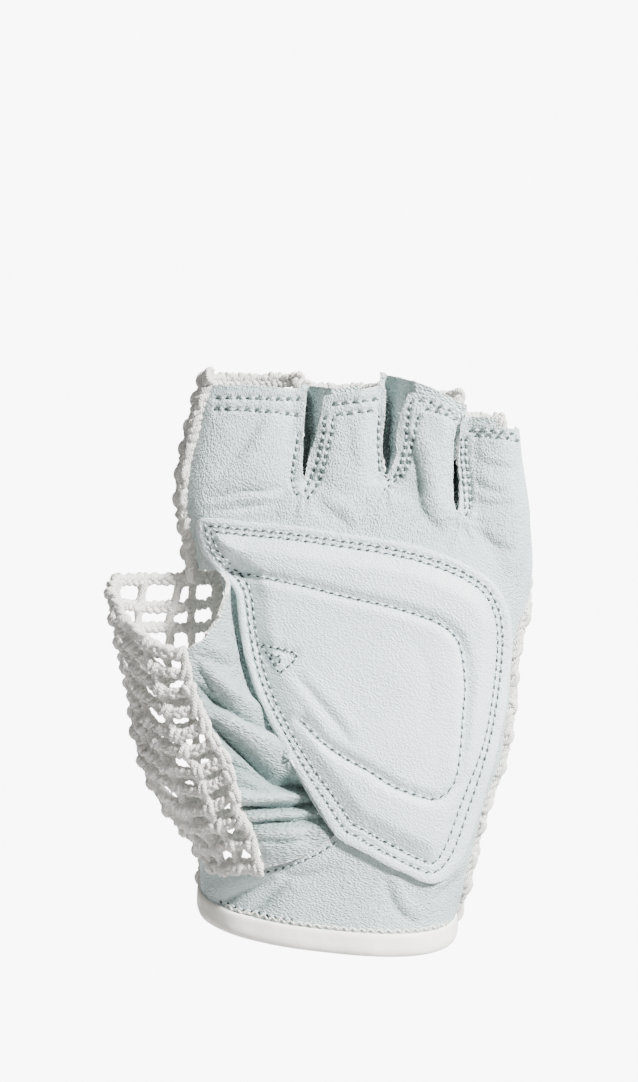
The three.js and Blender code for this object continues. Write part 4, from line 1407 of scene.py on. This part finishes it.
class GLOVE_OT_patch(bpy.types.Operator):
    """Raise the padded patch over the palm, drawn in along its rows of stitches"""

    bl_idname = "glove.patch"
    bl_label = "Padded patch"

    def execute(self, context):
        v, t = guide(False)
        v, t = clip(v, t, -v[:, 1])
        v, t = clip(v, t, depth_inside(v[:, [0, 2]], curve(PATCH, True), 4) + 0.2 * noise(v, 4.0, 12))
        v, t = tidy(v, t)
        height, creases = patch_height(v[:, [0, 2]])
        normals, n, rim = vertex_normals(v, t), len(v), open_sides(t)
        wall = np.column_stack([rim[:, 1], rim[:, 0], rim[:, 0] + n, rim[:, 1] + n])
        faces = t.tolist() + (t[:, ::-1] + n).tolist() + wall.tolist()
        face, back = v + normals * height[:, None], v + normals * 0.12
        piece = mesh_object("palm_patch_padded", np.vstack([face, back]), faces)
        # Painted shade along the patch's creases and sewn rows
        add_attributes(piece, 2, rim=rim_of(t, n), fold=smooth_step(-creases, 0.15, 1.0) * 0.3)
        colour = context.scene.glove_colours.patch
        material = grained_leather("patch_leather", colour, [(-30, 0)], 0.00016, 0.12, 0.25, (1500, 2100))
        finish_piece(piece, material, ["palm_patch"])
        return {"FINISHED"}


def strip_plan(tree, slot, right_end, share, z):
    """A strip's line in x and y at a height: into its slot, and behind the next tab up to its end there."""
    left, right = (np.interp(z, slot[:, 0], slot[:, k]) for k in (1, 2))
    # The fold starts behind the left tab, lies back in the slot and comes out behind the right tab
    deep = -9.0 + 8 * smooth_step(share, 0.02, 0.4)
    end = right + 3 + (right_end - right - 3) * smooth_step(share, 0, 0.5)
    turns = [(left - 1.3, -9.2), (left - 0.1, -8.6), (left + 0.1, deep), (min(left + 0.9, right - 0.1), deep)]
    turns += [(right - 0.2, min(deep, -7.4)), (right + 1, -8.6)]
    places = [(x, min(z, 124)) for x in np.linspace(right + 1.6, end, 12)]
    behind = in_mm("leather") + 0.5
    return turns + [(x, hit[0][1] + behind) for (x, _), hit in zip(places, hits(tree, places)) if hit]


class GLOVE_OT_strips(bpy.types.Operator):
    """Fold the leather strips between the fingers into their slots and behind the next tabs"""

    bl_idname = "glove.strips"
    bl_label = "Strips between the fingers"

    def execute(self, context):
        colour = context.scene.glove_colours.leather
        material = grained_leather("strip_leather", colour, [(-32, 0)], 0.0006, 0.4)
        rows, columns = 70, 60
        steps = np.add.outer(np.arange(rows - 1) * columns, np.arange(columns - 1)).reshape(-1, 1)
        triangles = (steps + [0, 1, columns + 1, 0, columns + 1, columns]).reshape(-1, 3)
        for name, strip in STRIPS.items():
            slot, top, foot = np.array(strip["slot"]), curve(strip["top"]), strip["foot"]
            rising = top[np.argsort(top[:, 0])]
            grid = np.zeros((rows, columns, 3))
            for i, share in enumerate(np.linspace(0, 1, rows)):
                z = foot + share * (top[:, 1].mean() - foot)
                plan = spaced(curve(strip_plan(guide_tree(False), slot, top[-1, 0], share, z)), columns)
                grid[i, :, :2] = plan
                grid[i, :, 2] = foot + share * (np.interp(plan[:, 0], *rising.T) - foot)
            for _ in range(3):
                y = np.pad(grid[:, :, 1], 1, mode="edge")
                beside = y[:-2, 1:-1] + y[2:, 1:-1] + y[1:-1, :-2] + y[1:-1, 2:]
                grid[:, :, 1] = (beside + 2 * y[1:-1, 1:-1]) / 6
            v = grid.reshape(-1, 3)
            v = v + vertex_normals(v, triangles) * (0.38 * noise(v, 2.6, 8))[:, None]
            # Painted shade: the strip is darker where it lies back in the slot
            piece = leather_sheet(name + "_fold", v, triangles, smooth_step(v[:, 1], -8, -3) * 0.5, 0.0009)
            finish_piece(piece, material, [name])
        return {"FINISHED"}


class GLOVE_OT_back_net(bpy.types.Operator):
    """Crochet the net over the back of the hand and the fingers"""

    bl_idname = "glove.back_net"
    bl_label = "Crochet back"

    def execute(self, context):
        rng = np.random.default_rng(context.scene.glove_sizes.seed)
        nets = {"rows": [], "posts": [], "fingers": []}
        for name, ground in back_surfaces().items():
            on_hand = name in HAND_NETS
            rows, posts = crochet(ground, rng, (False, not on_hand))
            if name in EDGE_CHAINS:
                posts += chain(ground, *EDGE_CHAINS[name], in_mm("ply"), rng)
            nets["rows" if on_hand else "fingers"] += rows
            nets["posts" if on_hand else "fingers"] += posts
        material = cotton_cord()
        for name, plies in nets.items():
            piece = cord_mesh("crochet_back_" + name, plies)
            finish_piece(piece, material, ["crochet_back"], ROUND_ANGLE)
        return {"FINISHED"}


class GLOVE_OT_thumb_net(bpy.types.Operator):
    """Crochet the net round the thumb"""

    bl_idname = "glove.thumb_net"
    bl_label = "Crochet thumb"

    def execute(self, context):
        rng = np.random.default_rng(context.scene.glove_sizes.seed + 1)
        rows, posts = crochet(thumb_surface(), rng, (True, True), 0.1, 0.82)
        piece = cord_mesh("crochet_thumb_net", rows + posts)
        finish_piece(piece, cotton_cord(), ["crochet_thumb"], ROUND_ANGLE)
        return {"FINISHED"}


class GLOVE_OT_binding(bpy.types.Operator):
    """Bind the wrist with a folded tape"""

    bl_idname = "glove.binding"
    bl_label = "Wrist binding"

    def execute(self, context):
        tall, thick = in_mm("binding_height"), in_mm("binding_thick")
        z, *sides = smooth_rows(HAND, 1.0).T
        count, around = len(TAPE), 220
        vertices = []
        for a in np.linspace(0, 2 * np.pi, around, endpoint=False):
            c, s = math.cos(a), math.sin(a)
            height = 0.0
            for _ in range(3):
                left, right, front, back = (np.interp(height, z, side) for side in sides)
                wide, deep = right - left, back - front
                x = (left + right) / 2 + wide / 2 * math.copysign(abs(c) ** (2 / HAND_POWER), c)
                y = (front + back) / 2 + deep / 2 * math.copysign(abs(s) ** (2 / HAND_POWER), s)
                height = wrist_plane(x, y)
            out = unit(np.array([c / wide, s / deep]))
            wobble = 0.12 * math.sin(5 * a + 1) + 0.08 * math.sin(13 * a)
            for across, up in TAPE:
                reach = across * thick + wobble - 0.35
                vertices.append((x + out[0] * reach, y + out[1] * reach, height + up * tall + 0.15 * wobble))
        faces = []
        for i, k in itertools.product(range(around), range(count)):
            j, m = (i + 1) % around, (k + 1) % count
            faces.append((i * count + k, i * count + m, j * count + m, j * count + k))
        piece = mesh_object("wrist_binding_tape", vertices, faces)
        edit_all(piece, bpy.ops.mesh.normals_make_consistent, inside=False)
        apply_modifier(piece, "SUBSURF", levels=1, render_levels=1)
        finish_piece(piece, smooth_tape(), ["wrist_binding"], 70)
        return {"FINISHED"}


def sew(name, rows, tree, thread, hole):
    """Stitches, each a thread and a dark blob of painted shade for the dent beside it: rows list line, pitch,
    slant and the dent's share.
    """
    threads, holes = [], []
    for line, pitch, slant, share in rows:
        stitch, dent = blob(pitch * (1 - share), 0.6, 0.3), blob(pitch * share, 0.38 + slant * 0.012, 0.12)
        threads.append(scatter(stitch, row_frames(tree, line, pitch, 0.05, slant * 0.3, 1.0)))
        holes.append(scatter(dent, row_frames(tree, line, pitch, 0.24, slant, 0.5)))
    # The dents are dark blobs of painted shade
    for suffix, parts, material in (("_thread", threads, thread), ("_painted_dents", holes, hole)):
        finish_piece(mesh_object(name + suffix, *joined(parts)), material, (), ROUND_ANGLE)


def zigzag(name, line, tree, pitch, thread):
    """A row of slanting stitches that lean to either side in turn."""
    frames = row_frames(tree, line, pitch, 0.12, 38, 0.25) + row_frames(tree, line, pitch, 0.12, -38, 0.75)
    piece = mesh_object(name, *scatter(blob(pitch * 0.74, 0.5, 0.42), frames))
    finish_piece(piece, thread, (), ROUND_ANGLE)


def wrist_line(tree, first, last, lift):
    """A line over the front of the palm, a lift above the plane of the wrist."""
    x = np.linspace(first, last, 40)
    y, z = np.full(40, -14.0), np.full(40, 2.0)
    for _ in range(4):
        found = hits(tree, np.column_stack([x, z]))
        y = np.array([hit[0][1] if hit else deep for hit, deep in zip(found, y)])
        z = wrist_plane(x, y, lift)
    return np.column_stack([x, z])


class GLOVE_OT_stitches(bpy.types.Operator):
    """Sew the hems, the slots, the patch and the binding, stitch by stitch"""

    bl_idname = "glove.stitches"
    bl_label = "Stitches"

    def execute(self, context):
        colours = context.scene.glove_colours
        thread = sewing_thread("grey_thread", colours.thread)
        # Painted shade: this material colours the dark blobs that stand for the shadow in the stitches' dents
        hole = sewing_thread("painted_dent_shade", colours.needle_hole_shade, 0.95)
        cream = sewing_thread("cream_thread", colours.cream_thread)
        hem, seam = in_mm("hem_pitch"), in_mm("seam_pitch")
        objects = bpy.data.objects
        palm = surface_tree(*mesh_arrays(objects["palm_leather_skin"]))
        patch = surface_tree(*mesh_arrays(objects["palm_patch_padded"]))
        rows = [(row, hem, 36, 0.6) for row in HEM_ROWS]
        rows += [(row, seam * SLOT_STITCH, 12, 0.5) for row in SLOT_ROWS]
        rows += [(GUSSET_ROW, seam * 0.9, 12, 0.5)]
        rows += [(wrist_line(palm, -26, -8, CUFF_ROW_LIFT), hem * 0.8, 45, 0.3)]
        sew("palm_stitch", rows, palm, thread, hole)
        zigzag("wrist_zigzag", wrist_line(palm, -24, 29, ZIGZAG_LIFT), palm, seam, cream)
        rows = [(patch_row(number), seam, 12, 0.56) for number in (0, 1)]
        rows += [(PATCH_INNER, seam * 1.05, 10, 0.5)]
        rows += [(line, seam * 0.8, 20, 0.5) for line in (PATCH_TACK[:3], PATCH_TACK[2:], PATCH_TACK_INNER)]
        sew("patch_stitch", rows, patch, thread, hole)
        return {"FINISHED"}


class GLOVE_OT_stage(bpy.types.Operator):
    """Set the pale floor and backdrop, the soft lights and the camera"""

    bl_idname = "glove.stage"
    bl_label = "Stage"

    def execute(self, context):
        stage = context.scene.glove_stage
        link = context.scene.collection.objects.link
        bpy.ops.object.select_all(action="DESELECT")
        bpy.ops.mesh.primitive_plane_add(size=8, location=(0, 0, stage.floor_height))
        backdrop = context.object
        backdrop.name = "backdrop"
        bpy.ops.object.mode_set(mode="EDIT")
        bpy.ops.mesh.select_all(action="DESELECT")
        bpy.ops.object.mode_set(mode="OBJECT")
        for edge in backdrop.data.edges:
            edge.select = all(backdrop.data.vertices[i].co.y > 3.9 for i in edge.vertices)
        bpy.ops.object.mode_set(mode="EDIT")
        bpy.ops.mesh.select_mode(type="EDGE")
        bpy.ops.mesh.extrude_region_move(TRANSFORM_OT_translate={"value": (0, 0, 5)})
        bpy.ops.object.mode_set(mode="OBJECT")
        apply_modifier(backdrop, "BEVEL", width=2.0, segments=16)
        bpy.ops.object.shade_smooth()
        bpy.ops.object.transform_apply(location=True, rotation=True, scale=True)
        backdrop.data.materials.append(pale_backdrop(stage.backdrop))
        for name, (place, size, power, spread) in LIGHTS.items():
            light = bpy.data.objects.new(name, bpy.data.lights.new(name, "AREA"))
            light.data.size, light.data.energy, light.data.spread = size, power, math.radians(spread)
            light.location = place
            light.rotation_euler = (Vector(LIT_POINT) - Vector(place)).to_track_quat("-Z", "Y").to_euler()
            link(light)
        world = context.scene.world or bpy.data.worlds.new("studio")
        context.scene.world = world
        world.use_nodes = True
        sky = world.node_tree.nodes["Background"].inputs
        sky["Color"].default_value, sky["Strength"].default_value = (1, 1, 1, 1), SKY
        camera = bpy.data.objects.new("camera", bpy.data.cameras.new("camera"))
        link(camera)
        camera.location = (VIEW_X, -stage.camera_distance, VIEW_Z)
        camera.rotation_euler = (math.radians(90), 0, 0)
        camera.data.sensor_width = SENSOR
        camera.data.lens = SENSOR * stage.camera_distance / stage.view_height
        context.scene.camera = camera
        return {"FINISHED"}


class GLOVE_PT_panel(bpy.types.Panel):
    """Lists the glove's pieces and their settings in the sidebar"""

    bl_label = "Cycling glove"
    bl_space_type = "VIEW_3D"
    bl_region_type = "UI"
    bl_category = "Glove"

    def draw(self, context):
        for operator in BUILD_ORDER:
            self.layout.operator(operator.bl_idname)
        for group in SETTINGS:
            settings = getattr(context.scene, group)
            for name in settings.__annotations__:
                self.layout.prop(settings, name)


BUILD_ORDER = (
    GLOVE_OT_stage,
    GLOVE_OT_palm,
    GLOVE_OT_gusset,
    GLOVE_OT_patch,
    GLOVE_OT_strips,
    GLOVE_OT_back_net,
    GLOVE_OT_thumb_net,
    GLOVE_OT_binding,
    GLOVE_OT_stitches,
)
SETTINGS = {"glove_sizes": GloveSizes, "glove_colours": GloveColours, "glove_stage": StageSettings}
CLASSES = (*SETTINGS.values(), *BUILD_ORDER, GLOVE_PT_panel)


def register():
    for kind in CLASSES:
        bpy.utils.register_class(kind)
    for name, group in SETTINGS.items():
        setattr(bpy.types.Scene, name, PointerProperty(type=group))


def unregister():
    for name in SETTINGS:
        delattr(bpy.types.Scene, name)
    for kind in reversed(CLASSES):
        bpy.utils.unregister_class(kind)


def main():
    register()
    for operator in BUILD_ORDER:
        group, name = operator.bl_idname.split(".")
        getattr(getattr(bpy.ops, group), name)()


if __name__ == "__main__":
    main()
